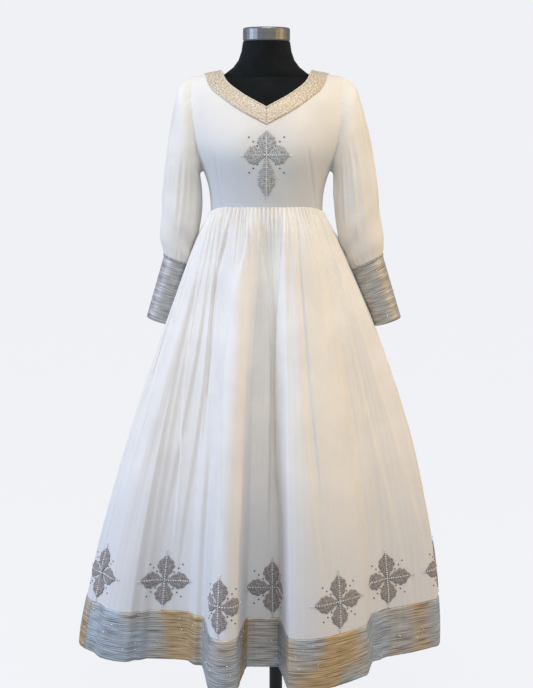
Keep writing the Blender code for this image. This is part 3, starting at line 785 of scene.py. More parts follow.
@dataclass
class Torso:
    """The body of the bodice, as a surface of turn round the body and fall from the shoulder seam."""

    # Height, half width, depth in front, depth behind.
    sections: tuple = (
        (1.300, 0.1335, 0.096, 0.078),
        (1.340, 0.1350, 0.101, 0.080),
        (1.380, 0.1400, 0.110, 0.084),
        (1.420, 0.1530, 0.118, 0.090),
        (1.470, 0.1790, 0.122, 0.097),
        (1.520, 0.1930, 0.118, 0.101),
        (1.570, 0.1980, 0.107, 0.100),
        (1.610, 0.1990, 0.094, 0.093),
        (1.650, 0.1990, 0.084, 0.085),
    )
    dart_x: float = 0.076
    dart_height: float = 1.462
    dart_reach: float = 0.011
    dart_spread: float = 0.052
    neck_x: float = 0.110
    sleeve_x: float = 0.180
    widest: float = 0.199
    shoulder: float = 1.648
    shoulder_fall: float = 0.013
    shoulder_round: float = 0.085
    turn_length: float = 0.0031  # metres of cloth in a degree of turn

    def sizes(self, height: Array) -> list[Array]:
        """Half width and the two depths at a height."""
        table = np.array(self.sections)
        return [smooth(height, table[:, 0], table[:, k]) for k in (1, 2, 3)]

    def seam_height(self, turn: Array) -> Array:
        """Height of the shoulder seam above this turn.

        Args:
            turn: Degrees from the middle.

        Returns:
            The height.
        """
        x = np.abs(self.widest * np.sin(np.radians(turn)))
        share = (x - self.neck_x) / (self.sleeve_x - self.neck_x)
        return self.shoulder - self.shoulder_fall * np.clip(share, 0.0, 1.4)

    def points(self, turn: Array, fall: Array, side: Side) -> Array:
        """Points of the cloth.

        x = w sin(turn), y = side d cos(turn) sin(lean), where a quarter round of radius
        R leans the cloth over the shoulder, and d is the depth with the darts' fullness.

        Args:
            turn: Degrees from the middle to the side seam.
            fall: Way down the cloth from the shoulder seam.
            side: Front or back.

        Returns:
            The points, half a gap from the seams.
        """
        sweep = self.shoulder_round * math.pi / 2
        lean = np.clip(fall / sweep, -1.0, 1.0) * math.pi / 2
        drop = self.shoulder_round * (1 - np.cos(lean)) + np.maximum(fall - sweep, 0.0)
        height = self.seam_height(turn) - drop
        width, front, back = self.sizes(height)
        x = width * np.sin(np.radians(turn))
        far = ((np.abs(x) - self.dart_x) ** 2 + (height - self.dart_height) ** 2) / self.dart_spread**2
        depth = front + self.dart_reach * np.exp(-far) if side is Side.FRONT else back
        y = side.value * (depth * np.cos(np.radians(turn)) * np.sin(lean) + GAP / 2)
        return np.stack([x, y, height], axis=-1)

    def out(self, turn: Array, fall: Array, side: Side) -> Array:
        """Outward normals, from the change of the points with turn and with fall.

        Args:
            turn: Degrees from the middle.
            fall: Way down from the shoulder seam.
            side: Front or back.

        Returns:
            A normal at each point.
        """
        step = 1e-4
        by_turn = self.points(turn + 0.1, fall, side) - self.points(turn - 0.1, fall, side)
        by_fall = self.points(turn, fall + step, side) - self.points(turn, fall - step, side)
        return unit(side.value * np.cross(by_turn, by_fall))

    def place(self, x: Array, height: Array) -> tuple[Array, Array]:
        """Turn and fall of the cloth's point at this x and height.

        Args:
            x: Place across.
            height: Height above the floor.

        Returns:
            The turn and the fall.
        """
        turn = np.degrees(np.arcsin(np.clip(x / self.sizes(height)[0], -1.0, 1.0)))
        drop = np.maximum(self.seam_height(turn) - height, 0.0)
        lean = np.arccos(np.clip(1 - drop / self.shoulder_round, 0.0, 1.0))
        return turn, lean * self.shoulder_round + np.maximum(drop - self.shoulder_round, 0.0)

    def places(self, points: Array) -> Array:
        """Turns and falls of points given by x and height, as two columns."""
        points = np.asarray(points, float)
        return np.stack(self.place(points[:, 0], points[:, 1]), axis=1)

    def path(self, knots: Array, steps: int) -> Array:
        """A smooth path over the cloth through turns and falls, cut into equal steps."""
        scale = np.array([self.turn_length, 1.0])
        return along(knots * scale, steps) / scale

    def seam_place(self, x: float) -> Array:
        """Turn and fall of the shoulder seam's point at this x."""
        return np.array([self.places(np.array([[x, self.shoulder]]))[0, 0], 0.0])


@dataclass
class Bodice:
    """The fitted bodice: a darted front and a plain back."""

    torso: Torso
    waist_side: float = 1.308
    waist_rise: dict = field(default_factory=lambda: {Side.FRONT: 0.024, Side.BACK: 0.006})
    waist_level: int = 8
    armpit_x: float = 0.15
    armpit: float = 1.415
    armholes: dict = field(
        default_factory=lambda: {
            Side.FRONT: ((0.160, 1.450), (0.169, 1.490), (0.173, 1.545), (0.176, 1.600)),
            Side.BACK: ((0.164, 1.450), (0.175, 1.490), (0.179, 1.545), (0.180, 1.600)),
        }
    )
    necks: dict = field(
        default_factory=lambda: {
            Side.FRONT: ((0.110, 1.648), (0.088, 1.618), (0.060, 1.597), (0.0, 1.564)),
            Side.BACK: ((0.110, 1.648), (0.092, 1.627), (0.055, 1.615), (0.0, 1.611)),
        }
    )
    foot_turns: tuple = (0.0, 33.0, 42.0, 58.0, 90.0)
    neck_steps: int = 25
    shoulder_steps: int = 15
    armhole_steps: int = 42
    hollow_share: float = 4 / 7
    rows: int = 70
    row_growth: float = 1.3
    swing: float = 3.0
    # Each dart: x and height at the waist, x and height at its point.
    darts: tuple = ((-0.103, 1.325, -0.122, 1.470), (0.117, 1.325, 0.092, 1.497))
    dart_hollow: tuple = (0.0024, 0.0024)  # depth and half width
    dart_ridge: tuple = (0.0014, 0.006, 0.007)  # height, distance from the hollow, half width
    pull: float = 0.0006
    panels: dict = field(default_factory=dict)
    outs: dict = field(default_factory=dict)

    def neck_path(self, edge: tuple, steps: int) -> Array:
        """A neckline from the shoulder seam to the middle, as turns and falls."""
        start = self.torso.seam_place(edge[0][0])
        return self.torso.path(np.vstack([start, self.torso.places(edge[1:])]), steps)

    def top_edge(self, side: Side) -> Array:
        """The panel's edge from the middle of the neck to the armpit, as turns and falls.

        Args:
            side: Front or back.

        Returns:
            Turn and fall of each point.
        """
        start = self.torso.seam_place(self.torso.neck_x)
        end = self.torso.seam_place(self.torso.sleeve_x)
        armpit = np.array([90.0, self.torso.place(self.armpit_x, self.armpit)[1]])
        collar = self.neck_path(self.necks[side], self.neck_steps)[::-1]
        seam = np.linspace(start, end, self.shoulder_steps + 1)
        hole = np.vstack([end, self.torso.places(self.armholes[side][::-1]), armpit])
        return np.vstack([collar, seam[1:], self.torso.path(hole, self.armhole_steps)[1:]])

    def waist(self, turn: Array, side: Side) -> Array:
        """Height of the waist seam, level in front and lower at the sides."""
        return self.waist_side + self.waist_rise[side] * (1 - np.sin(np.radians(turn)) ** self.waist_level)

    def grid(self, side: Side) -> tuple[Array, Array]:
        """Turns and falls of a panel, neck row first, from -X to +X.

        Args:
            side: Front or back.

        Returns:
            The turns and the falls.
        """
        top = self.top_edge(side)
        steps = len(top) - 1
        sleeve = self.neck_steps + self.shoulder_steps
        hollow = sleeve + self.hollow_share * self.armhole_steps
        turn = np.interp(np.arange(steps + 1), (0, self.neck_steps, sleeve, hollow, steps), self.foot_turns)
        drop = self.torso.seam_height(turn) - self.waist(turn, side)
        sweep = self.torso.shoulder_round
        foot = np.stack([turn, drop - sweep + sweep * math.pi / 2], axis=1)
        share = np.linspace(0.0, 1.0, self.rows + 1)[:, None] ** self.row_growth
        swing = 1 - (1 - share) ** self.swing
        half_turn = top[:, 0] * (1 - swing) + foot[:, 0] * swing
        half_fall = top[:, 1] * (1 - share) + foot[:, 1] * share
        half = np.stack([half_turn, half_fall], axis=-1)
        both = np.concatenate([half[:, :0:-1] * np.array([-1.0, 1.0]), half], axis=1)
        return both[..., 0], both[..., 1]

    def creases(self, points: Array, side: Side) -> Array:
        """Hollows of the darts and slight pulls of the cloth.

        At a distance d from its line a dart sinks the cloth by h exp(-(d / w)^2), with a
        lower ridge beside it, and fades at its point. Pulls are broad waves that fan out
        from the armholes and the waist.

        Args:
            points: The smooth cloth.
            side: Front or back.

        Returns:
            How far each point moves out.
        """
        x, height = points[..., 0], points[..., 2]
        deep, wide = self.dart_hollow
        rise, aside, broad = self.dart_ridge
        sunk = np.zeros_like(x)
        if side is Side.FRONT:
            for x0, z0, x1, z1 in self.darts:
                share = np.clip((height - z0) / (z1 - z0), 0.0, 1.0)
                apart = x - (x0 + (x1 - x0) * share)
                held = ease(height, z1 + 0.004, z1 - 0.02)
                sunk -= deep * np.exp(-((apart / wide) ** 2)) * held
                sunk += rise * np.exp(-(((apart - aside) / broad) ** 2)) * held
        fan = np.sin(36 * (np.abs(x) - 0.6 * (height - 1.42)) + 2.0 * np.sin(9 * height + 3 * x))
        fan = fan * ease(np.abs(x), 0.08, 0.15)
        near_waist = np.sin(95 * x + 40 * height) * ease(height, 1.40, 1.33)
        return sunk + self.pull * (fan + near_waist) * ease(height, 1.310, 1.325)

    def make(self) -> None:
        """Builds both panels."""
        for side in Side:
            turn, fall = self.grid(side)
            points = self.torso.points(turn, fall, side)
            out = self.torso.out(turn, fall, side)
            self.panels[side] = points
            self.outs[side] = out
            creased = points + out * self.creases(points, side)[..., None]
            name = "bodice_" + side.name.lower()
            piece = stitch(name + "_cloth", [Patch(creased, facing=-side.value)], BODICE_CHIFFON, CLOTH)
            settle(piece, "ivory_chiffon", name)

    def armhole(self, hand: Hand, steps: int, away_by: float = GAP * 1.5, under: float = 0.0) -> Array:
        """The armhole from the armpit up the front and down the back.

        Args:
            hand: Which sleeve.
            steps: How many points the whole loop has.
            away_by: How far out from the panels' edges it runs.
            under: How far below the panels' outer face it runs.

        Returns:
            The loop.
        """
        halves = []
        steps_in = self.armhole_steps + 1
        columns = slice(None, -steps_in - 1, -1) if hand is Hand.LEFT else slice(0, steps_in)
        for side in Side:
            edge = self.panels[side][0, columns]
            out = self.outs[side][0, columns]
            away = unit(np.cross(out, np.gradient(edge, axis=0)))
            away *= np.sign(away @ np.array([hand.value, 0.0, 0.3]))[:, None]
            halves.append(edge + away * away_by - out * under)
        front, back = halves
        ends = [(front[0] + back[0]) / 2, (front[-1] + back[-1]) / 2]
        loop = np.vstack([ends[0], front[1:-1], ends[1], back[-2:0:-1], ends[0]])
        at = np.arange(steps) * (len(loop) - 1) / steps
        return np.stack([np.interp(at, np.arange(len(loop)), column) for column in loop.T], axis=1)

    def waist_loop(self) -> Array:
        """The lower edge, from the middle of the front round by +X and back.

        Returns:
            The loop's points.
        """
        front = self.panels[Side.FRONT][-1]
        back = self.panels[Side.BACK][-1][::-1]
        middle = len(front) // 2
        return np.vstack([front[middle:], back, front[: middle + 1]])


@dataclass
class NeckBand:
    """The woven band round the neck, mitred at the V, with a piped inner edge and crystals."""

    bodice: Bodice
    outers: dict = field(
        default_factory=lambda: {
            Side.FRONT: ((0.147, 1.6411), (0.127, 1.607), (0.079, 1.570), (0.0, 1.526)),
            Side.BACK: ((0.147, 1.6411), (0.124, 1.598), (0.070, 1.579), (0.0, 1.573)),
        }
    )
    length_steps: int = 90
    width_steps: int = 14
    lift: float = 0.0012
    crown: float = 0.0004
    piping: float = 0.0019  # radius
    cuts: tuple = (("left", (0.045, 0.20)), ("right", (0.045, 0.20)), ("back", (0.055, 0.32)))
    stone_sizes: tuple = (0.0021, 0.0014)
    stone_step: int = 9

    def strip(self, side: Side) -> Patch:
        """Half a band, inner edge first, from the shoulder seam to the middle.

        Args:
            side: Front or back.

        Returns:
            The half band at +X.
        """
        inner = self.bodice.neck_path(self.bodice.necks[side], self.length_steps)
        outer = self.bodice.neck_path(self.outers[side], self.length_steps)
        share = np.linspace(0.0, 1.0, self.width_steps + 1)[:, None, None]
        both = inner * (1 - share) + outer * share
        torso = self.bodice.torso
        out = torso.out(both[..., 0], both[..., 1], side)
        crown = self.crown * np.sin(np.pi * share)
        return Patch(torso.points(both[..., 0], both[..., 1], side) + out * (self.lift + TILET + crown))

    def make(self) -> None:
        """Builds the two fronts, the back, their piping and the crystals."""
        front = self.strip(Side.FRONT)
        back = self.strip(Side.BACK)
        mirror = np.array([-1.0, 1.0, 1.0])
        seam = np.array([GAP / 2, 0.0, 0.0])
        left = Patch(front.points + seam, facing=-1)
        right = Patch(left.points * mirror, facing=1)
        around = np.concatenate([back.points, back.points[:, -2::-1] * mirror], axis=1)
        whole_back = Patch(around, facing=1)
        made = []
        for (word, _), patch in zip(self.cuts, (left, right, whole_back)):
            piece = stitch("neck_band_" + word + "_cloth", [patch], CHAMPAGNE_TILET, TILET)
            made.append(settle(piece, "champagne_tilet", "neck_band_" + word))
        loop = np.concatenate([left.points[0], right.points[0, -2::-1], around[0][::-1][1:-1]])
        out = np.concatenate([left.normals()[0], right.normals()[0, -2::-1], whole_back.normals()[0][::-1][1:-1]])
        across = unit(np.cross(np.gradient(loop, axis=0), out))
        settle(stitch("neck_piping", [rope(loop, out, across, self.piping)], PIPING), "champagne_tilet")
        places, normals = self.scatter(left, right, whole_back)
        sizes = np.where(np.arange(len(places)) % 4 == 0, *self.stone_sizes)
        gems = settle(string_beads("neck_crystals", places, normals, sizes, CRYSTAL), "champagne_tilet")
        for (_, flat), piece in zip(self.cuts, made):
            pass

    def scatter(self, *patches: Patch) -> tuple[Array, Array]:
        """Places and normals of crystals in a loose zigzag along each part of the band.

        Args:
            patches: The parts of the band.

        Returns:
            The places and the normals.
        """
        dice = np.random.default_rng(5)
        places, normals = [], []
        for patch in patches:
            rows, columns = patch.points.shape[:2]
            even = np.arange(4, columns - 4, self.stone_step)
            column = even + dice.integers(-2, 3, len(even))
            row = (rows * (0.5 + 0.33 * np.sin(column * 1.7) * dice.uniform(0.3, 1.0, len(column)))).astype(int)
            places.append(patch.points[row, column])
            normals.append(patch.normals()[row, column])
        return np.concatenate(places), np.concatenate(normals)


# ---------------------------------------------------------------- sleeves


@dataclass
class Sleeve:
    """A full sleeve, gathered at the cap and at the ribbed cuff."""

    bodice: Bodice
    hand: Hand
    # Inner x, inner height, outer x, outer height, half depth, middle y.
    sections: tuple
    cuff_sections: tuple
    columns: int = 144
    rows: int = 110
    cuff_rows: int = 46
    cap_gather: tuple = (0.0017, 46, 1.3, 0.030)  # height, count, sharpness, and how soon they fade
    cuff_gather: tuple = (0.0021, 40, 1.2, 0.026)
    long_folds: int = 15
    allowance: tuple = (-0.0035, 0.0004)  # how far the cap runs in beyond the seam, and under the bodice's wall
    cord: float = 0.0017  # radius of the edge cord
    scallops: int = 36
    scallop: tuple = (0.0026, 0.0028, 0.0007)  # start below the edge, rise, and lift from the cuff
    stones: int = 46
    stone_sizes: tuple = (0.0012, 0.0015, 0.0021)

    def ring(self, section: tuple) -> Array:
        """An ellipse from the inner side round by the front.

        x and z go from the inner to the outer point by (1 - cos a) / 2, and y = m - d sin a.

        Args:
            section: Inner x and height, outer x and height, half depth and middle y.

        Returns:
            The ellipse's points.
        """
        inner_x, inner_z, outer_x, outer_z, depth, middle = section
        turn = np.linspace(0.0, 2 * math.pi, self.columns, endpoint=False)
        share = (1 - np.cos(turn)) / 2
        x = self.hand.value * (inner_x + (outer_x - inner_x) * share)
        return np.stack([x, middle - depth * np.sin(turn), inner_z + (outer_z - inner_z) * share], axis=1)

    def word(self) -> str:
        """The hand's name in small letters."""
        return self.hand.name.lower()

    def folds(self, points: Array) -> Array:
        """Soft folds of the sleeve.

        Gathers are pleats that fade as exp(-d / f) with their distance d from a seam, over
        the cap on its upper half and above the cuff all round. Long folds are uneven ridges
        exp(-(a / w)^2) between shallow hollows, which drift round as they go down, each
        with its own start, end and height. A droop makes slow waves above the cuff.

        Args:
            points: The smooth cloth.

        Returns:
            How far each point moves out.
        """
        rows, columns = points.shape[:2]
        turn = np.arange(columns)[None] / columns
        steps = np.linalg.norm(np.diff(points, axis=0), axis=2)
        down = np.concatenate([np.zeros((1, columns)), np.cumsum(steps, axis=0)])
        left = down[-1:] - down
        upper = ease(0.5 - np.abs(turn - 0.5), 0.18, 0.36)
        seed = 30 + self.hand.value
        rise, count, sharp, fade = self.cap_gather
        cap = rise * pleats(turn, count, seed, sharp) * upper * np.exp(-down / fade) * ease(down, 0.0, 0.006)
        rise, count, sharp, fade = self.cuff_gather
        cuff = rise * pleats(turn, count, seed + 4, sharp) * np.exp(-left / fade) * ease(left, 0.0, 0.006)
        share = down / down[-1:]
        dice = np.random.default_rng(seed + 9)
        folds = np.zeros_like(share)
        for k in range(self.long_folds):
            centre = (k + dice.uniform(0.1, 0.9)) / self.long_folds + dice.uniform(-0.05, 0.05) * share
            width = dice.uniform(0.010, 0.024)
            start, end = dice.uniform(0.02, 0.30), dice.uniform(0.65, 1.05)
            apart = (turn - centre + 0.5) % 1.0 - 0.5
            shape = np.exp(-((apart / width) ** 2)) - 0.45 * np.exp(-((apart / (2.2 * width)) ** 2))
            hold = ease(share, start, start + 0.2) * ease(share, end, end - 0.2)
            folds += dice.uniform(0.0020, 0.0052) * shape * hold
        droop = 0.0025 * np.sin(20 * share + 5 * turn) * ease(share, 0.55, 0.8) * ease(share, 1.0, 0.88)
        return cap + cuff + (folds + droop) * ease(left, 0.0, 0.03) * ease(down, 0.0, 0.02)

    def make(self) -> None:
        """Builds the sleeve and its cuff."""
        mouth, foot = [self.ring(section) for section in self.cuff_sections]
        axis = unit(foot.mean(axis=0) - mouth.mean(axis=0))
        rings = [self.bodice.armhole(self.hand, self.columns)]
        rings += [self.ring(section) for section in self.sections] + [mouth - axis * GAP]
        knots = np.arange(len(rings))
        fine = smooth(np.linspace(0.0, knots[-1], self.rows + 1), knots, np.array(rings))
        inward, under = self.allowance
        tucked = self.bodice.armhole(self.hand, self.columns, inward, CLOTH + under)
        fine = np.concatenate([tucked[None], fine])
        plain = Patch(fine, closed=True, facing=self.hand.value)
        cloth = plain.lifted(self.folds(fine))
        name = "sleeve_" + self.word()
        piece = stitch(name + "_cloth", [cloth], SLEEVE_CHIFFON, CLOTH)
        settle(piece, "ivory_chiffon", name)
        self.make_cuff(mouth, foot)

    def make_cuff(self, mouth: Array, foot: Array) -> None:
        """The ribbed cuff, its scalloped edge cord and its crystals.

        Args:
            mouth: The upper ring.
            foot: The lower ring.
        """
        share = np.linspace(0.0, 1.0, self.cuff_rows + 1)[:, None, None]
        plain = Patch(mouth * (1 - share) + foot * share, closed=True, facing=self.hand.value)
        name = "cuff_" + self.word()
        band = stitch(name + "_cloth", [plain], CUFF_TILET, TILET)
        settle(band, "silver_tilet", name)
        normals = plain.normals()
        fine = np.arange(8 * self.scallops) / (8 * self.scallops)
        index = (fine * self.columns).astype(int) % self.columns
        arch = np.abs(np.sin(math.pi * self.scallops * fine))[:, None]
        axis = unit(foot.mean(axis=0) - mouth.mean(axis=0))
        below, rise, lift = self.scallop
        middle = mouth[index] + axis * (below - rise * arch) + normals[0, index] * lift
        cord = rope(middle, normals[0, index], axis, self.cord, -self.hand.value)
        edge = settle(stitch(name + "_edge", [cord], SILVER_CORD), "silver_tilet")
        dice = np.random.default_rng(40 + self.hand.value)
        row = dice.integers(4, self.cuff_rows - 3, self.stones)
        column = (np.arange(self.stones) * 37 + dice.integers(0, 9, self.stones)) % self.columns
        sizes = dice.choice(self.stone_sizes, self.stones)
        stones = string_beads(name + "_crystals", plain.points[row, column], normals[row, column], sizes, CRYSTAL)
        settle(stones, "silver_tilet")


SLEEVE_LEFT = (
    (0.157, 1.412, 0.210, 1.613, 0.061, 0.002),
    (0.160, 1.406, 0.224, 1.575, 0.062, 0.003),
    (0.160, 1.398, 0.236, 1.530, 0.060, 0.004),
    (0.160, 1.389, 0.248, 1.483, 0.058, 0.005),
    (0.160, 1.378, 0.258, 1.430, 0.057, 0.006),
    (0.160, 1.360, 0.266, 1.385, 0.057, 0.008),
    (0.163, 1.330, 0.273, 1.337, 0.057, 0.010),
    (0.167, 1.295, 0.278, 1.290, 0.056, 0.013),
    (0.176, 1.250, 0.283, 1.250, 0.052, 0.018),
    (0.193, 1.205, 0.285, 1.230, 0.046, 0.023),
)
SLEEVE_RIGHT = (
    (0.157, 1.412, 0.207, 1.613, 0.061, 0.002),
    (0.159, 1.406, 0.218, 1.575, 0.062, 0.003),
    (0.158, 1.398, 0.226, 1.530, 0.060, 0.004),
    (0.157, 1.389, 0.234, 1.483, 0.058, 0.006),
    (0.156, 1.378, 0.241, 1.430, 0.056, 0.010),
    (0.155, 1.360, 0.247, 1.385, 0.055, 0.014),
    (0.156, 1.330, 0.253, 1.337, 0.054, 0.021),
    (0.161, 1.292, 0.257, 1.290, 0.053, 0.030),
    (0.170, 1.248, 0.258, 1.250, 0.049, 0.041),
    (0.181, 1.203, 0.254, 1.222, 0.045, 0.051),
)
CUFF_LEFT = ((0.2064, 1.179, 0.2830, 1.2145, 0.0420, 0.026), (0.2654, 1.035, 0.3319, 1.0570, 0.0350, 0.034))
CUFF_RIGHT = ((0.1870, 1.187, 0.2517, 1.2108, 0.0430, 0.055), (0.2340, 1.030, 0.3004, 1.0509, 0.0350, 0.078))


# ---------------------------------------------------------------- skirt


@dataclass
class Skirt:
    """The full skirt, gathered to the waist and hanging in uneven folds to the banded hem."""

    bodice: Bodice
    hem: float = 0.218
    band: float = 0.127
    half_width: float = 0.462
    middle_x: float = -0.018
    depths: tuple = (0.150, 0.225)
    power: float = 1.50
    power_left: float = 0.25
    puff: float = 0.010
    puff_length: float = 0.015
    fold_edge: float = 0.013
    top: float = 1.332  # just above the highest point of the waist seam
    level: float = 1.280  # under this the grid's rows are level
    seam_height: float = 1.302
    waist_oval: tuple = (0.134, 0.090)
    plan_steps: int = 2880
    columns: int = 760
    rows: int = 104
    row_growth: float = 1.35
    side_gap: float = 0.00006  # half the air at a side seam, as a share of the way round
    # Height, count, seed and, for pleats, sharpness.
    slits: tuple = (0.0085, 80, 1, 3.0)
    lines: tuple = (0.0010, 170, 11, 1.5)
    merging: tuple = (0.0056, 46, 3)
    wide: tuple = (0.0070, 23, 5)
    ruffle: tuple = (0.0026, 0.0045, 0.006)  # how far the seam's edge stands out and up, and how soon it fades
    girths: tuple = (0.80, 2.05)  # length round the waist, and what the hem's adds to it
    fold_step: float = 0.0018
    fold_scale: float = 1.25
    # Largest folds at the hem: from x, to x, reach at each of them.
    folds_front: tuple = (
        (-0.425, -0.335, 0.035, 0.025),
        (-0.310, -0.185, -0.020, -0.032),
        (-0.148, -0.060, 0.145, 0.150),
        (0.041, 0.253, 0.165, 0.095),
        (0.285, 0.430, -0.020, -0.024),
    )
    folds_back: tuple = (
        (-0.440, -0.350, 0.020, 0.045),
        (-0.310, -0.225, -0.030, -0.025),
        (-0.185, -0.095, 0.075, 0.100),
        (-0.060, 0.020, -0.035, -0.030),
        (0.050, 0.150, 0.105, 0.070),
        (0.180, 0.235, -0.015, -0.025),
        (0.265, 0.345, 0.060, 0.045),
        (0.375, 0.425, -0.015, -0.010),
    )
    # Folds placed one by one: raised side, rise, reach, then height and share of the way round from the top down.
    folds_placed: tuple = (
        (-1, 0.0050, 0.030, 1.295, -0.029, 1.152, -0.003, 0.983, 0.0053, 0.766, 0.0039, 0.560, 0.002),
        (1, 0.0060, 0.050, 1.290, 0.054, 1.150, 0.040, 0.983, 0.021, 0.766, 0.0145, 0.640, 0.018),
        (1, 0.0024, 0.020, 1.285, 0.0947, 1.178, 0.0868, 1.025, 0.0842, 0.849, 0.0842, 0.700, 0.086),
        (-1, 0.0034, 0.020, 1.285, 0.1171, 1.169, 0.1276, 1.115, 0.1289),
        (1, 0.0052, 0.034, 1.3, -0.0539, 1.258, -0.0579, 1.095, -0.0829, 0.96, -0.09, 0.778, -0.0842, 0.577, -0.0776),
        (-1, 0.0044, 0.024, 1.297, -0.1145, 1.143, -0.1447, 0.990, -0.1470, 0.754, -0.1434),
        (1, 0.0050, 0.030, 1.180, -0.200, 1.025, -0.186, 0.918, -0.181, 0.814, -0.175, 0.560, -0.168),
        (-1, 0.0042, 0.026, 1.235, 0.196, 1.086, 0.181, 0.929, 0.175, 0.754, 0.1645, 0.524, 0.163),
        (1, 0.0046, 0.030, 1.290, 0.262, 1.120, 0.250, 0.900, 0.243, 0.600, 0.240),
        (-1, 0.0040, 0.022, 1.290, 0.318, 1.150, 0.322, 0.980, 0.330),
        (1, 0.0054, 0.036, 1.290, 0.371, 1.110, 0.384, 0.880, 0.392, 0.640, 0.390),
        (-1, 0.0036, 0.020, 1.280, 0.425, 1.180, 0.420, 1.010, 0.423, 0.860, 0.428),
        (1, 0.0050, 0.030, 1.290, 0.478, 1.130, 0.470, 0.930, 0.468, 0.720, 0.471, 0.540, 0.470),
        (-1, 0.0044, 0.026, 1.290, -0.462, 1.140, -0.452, 0.960, -0.455, 0.760, -0.460),
        (1, 0.0038, 0.022, 1.285, -0.401, 1.190, -0.398, 1.050, -0.402),
        (-1, 0.0052, 0.034, 1.290, -0.352, 1.100, -0.345, 0.870, -0.348, 0.600, -0.352),
        (1, 0.0046, 0.026, 1.290, -0.289, 1.160, -0.282, 0.970, -0.276, 0.800, -0.278),
        (-1, 0.0040, 0.024, 1.240, -0.243, 1.080, -0.238, 0.900, -0.233, 0.680, -0.236),
    )
    heights: Array = field(default_factory=lambda: np.zeros(0))
    cloth: Patch | None = None
    outs: Array | None = None

    def reach(self, x: Array, folds: tuple) -> Array:
        """How far the largest folds carry the hem out from its plain oval.

        Args:
            x: Place across.
            folds: The folds of one half.

        Returns:
            The reach at each x.
        """
        total = np.zeros_like(x)
        for start, end, at_start, at_end in folds:
            share = np.clip((x - start) / (end - start), 0.0, 1.0)
            window = ease(x, start - self.fold_edge, start + self.fold_edge)
            window = window * ease(x, end + self.fold_edge, end - self.fold_edge)
            total += (at_start + (at_end - at_start) * share) * window * (1 - 0.25 * (2 * share - 1) ** 2)
        return total

    def plan(self) -> Array:
        """The hem from above, from the middle of the front round by +X, in equal lengths.

        x = m + w sin t, y = -(d cos t + reach |cos t|^0.5).

        Returns:
            x and y of each column's foot.
        """
        turn = np.linspace(0.0, 2 * math.pi, self.plan_steps)
        x = self.middle_x + self.half_width * np.sin(turn)
        front = np.cos(turn) > 0
        oval = np.where(front, *self.depths) * np.cos(turn)
        reach = np.where(front, self.reach(x, self.folds_front), -self.reach(x, self.folds_back))
        path = np.stack([x, -(oval + reach * np.abs(np.cos(turn)) ** 0.5)], axis=1)
        start = int(np.argmin(np.where(front, np.abs(x), np.inf)))
        path = np.concatenate([path[start:-1], path[: start + 1]])
        return evenly(path, np.arange(self.columns) / self.columns)

    def gathers(self, down: Array) -> Array:
        """Fine gathers at the waist that merge into wider and then into long folds.

        Deep narrow slits fade as exp(-d / f) with the way down d, and fine lines run all the
        way. Lapped folds come in below the seam and fade about 150 mm down, where wide ones
        take over, which drift round as they go and grow shallow towards the hem.

        Args:
            down: Way down from the waist seam.

        Returns:
            How far each point moves out.
        """
        turn = np.arange(self.columns)[None] / self.columns
        share = down / down.max()
        rise, *kind = self.slits
        slits = -rise * pleats(turn, *kind) * np.exp(-down / (0.050 + 0.045 * wander(turn, 9, 2)))
        rise, *kind = self.lines
        lines = rise * pleats(turn + 0.003 * share, *kind) * (0.5 + wander(turn, 6, 12))
        rise, *kind = self.merging
        merging = rise * laps(turn + 0.004 * share, *kind) * ease(down, 0.0, 0.03)
        merging = merging * np.exp(-down / (0.15 + 0.13 * wander(turn, 4, 8)))
        rise, *kind = self.wide
        wide = rise * laps(turn + 0.014 * np.sin(3 * share + 6 * turn), *kind) * ease(down, 0.04, 0.30)
        wide = wide * (1 - 0.75 * ease(share, 0.45, 0.90))
        edge = self.ruffle[0] * np.exp(-down / self.ruffle[2])
        return edge + slits + lines + merging + wide + self.fold_scale * self.placed(down)

    def placed(self, down: Array) -> Array:
        """The folds placed one by one.

        With a the way round from a fold's edge, h = d e^(-a / w) on its raised side and
        -0.6 d e^(-a / 0.4 w) in the hollow beside it, with a soft step between the two.

        Args:
            down: Way down from the waist seam.

        Returns:
            How far each point moves out.
        """
        turn = np.arange(self.columns)[None] / self.columns
        height = self.seam_height - down
        waist, growth = self.girths
        girth = waist + growth * (down / down.max()) ** 1.1
        total = np.zeros_like(down)
        for side, rise, reach, *knots in self.folds_placed:
            heights, turns = np.array(knots).reshape(-1, 2)[::-1].T
            centre = smooth(np.clip(height, heights[0], heights[-1]), heights, turns)
            apart = ((turn - centre + 0.5) % 1.0 - 0.5) * girth * side
            lifted = ease(apart, -self.fold_step, self.fold_step)
            shape = lifted * np.exp(-np.maximum(apart, 0.0) / reach)
            shape -= 0.6 * (1 - lifted) * np.exp(np.minimum(apart, 0.0) / (0.4 * reach))
            foot, head = heights[0], heights[-1]
            held = ease(height, foot - 0.09, foot + 0.06) * ease(height, head + 0.015, head - 0.05)
            total += rise * shape * held
        return total

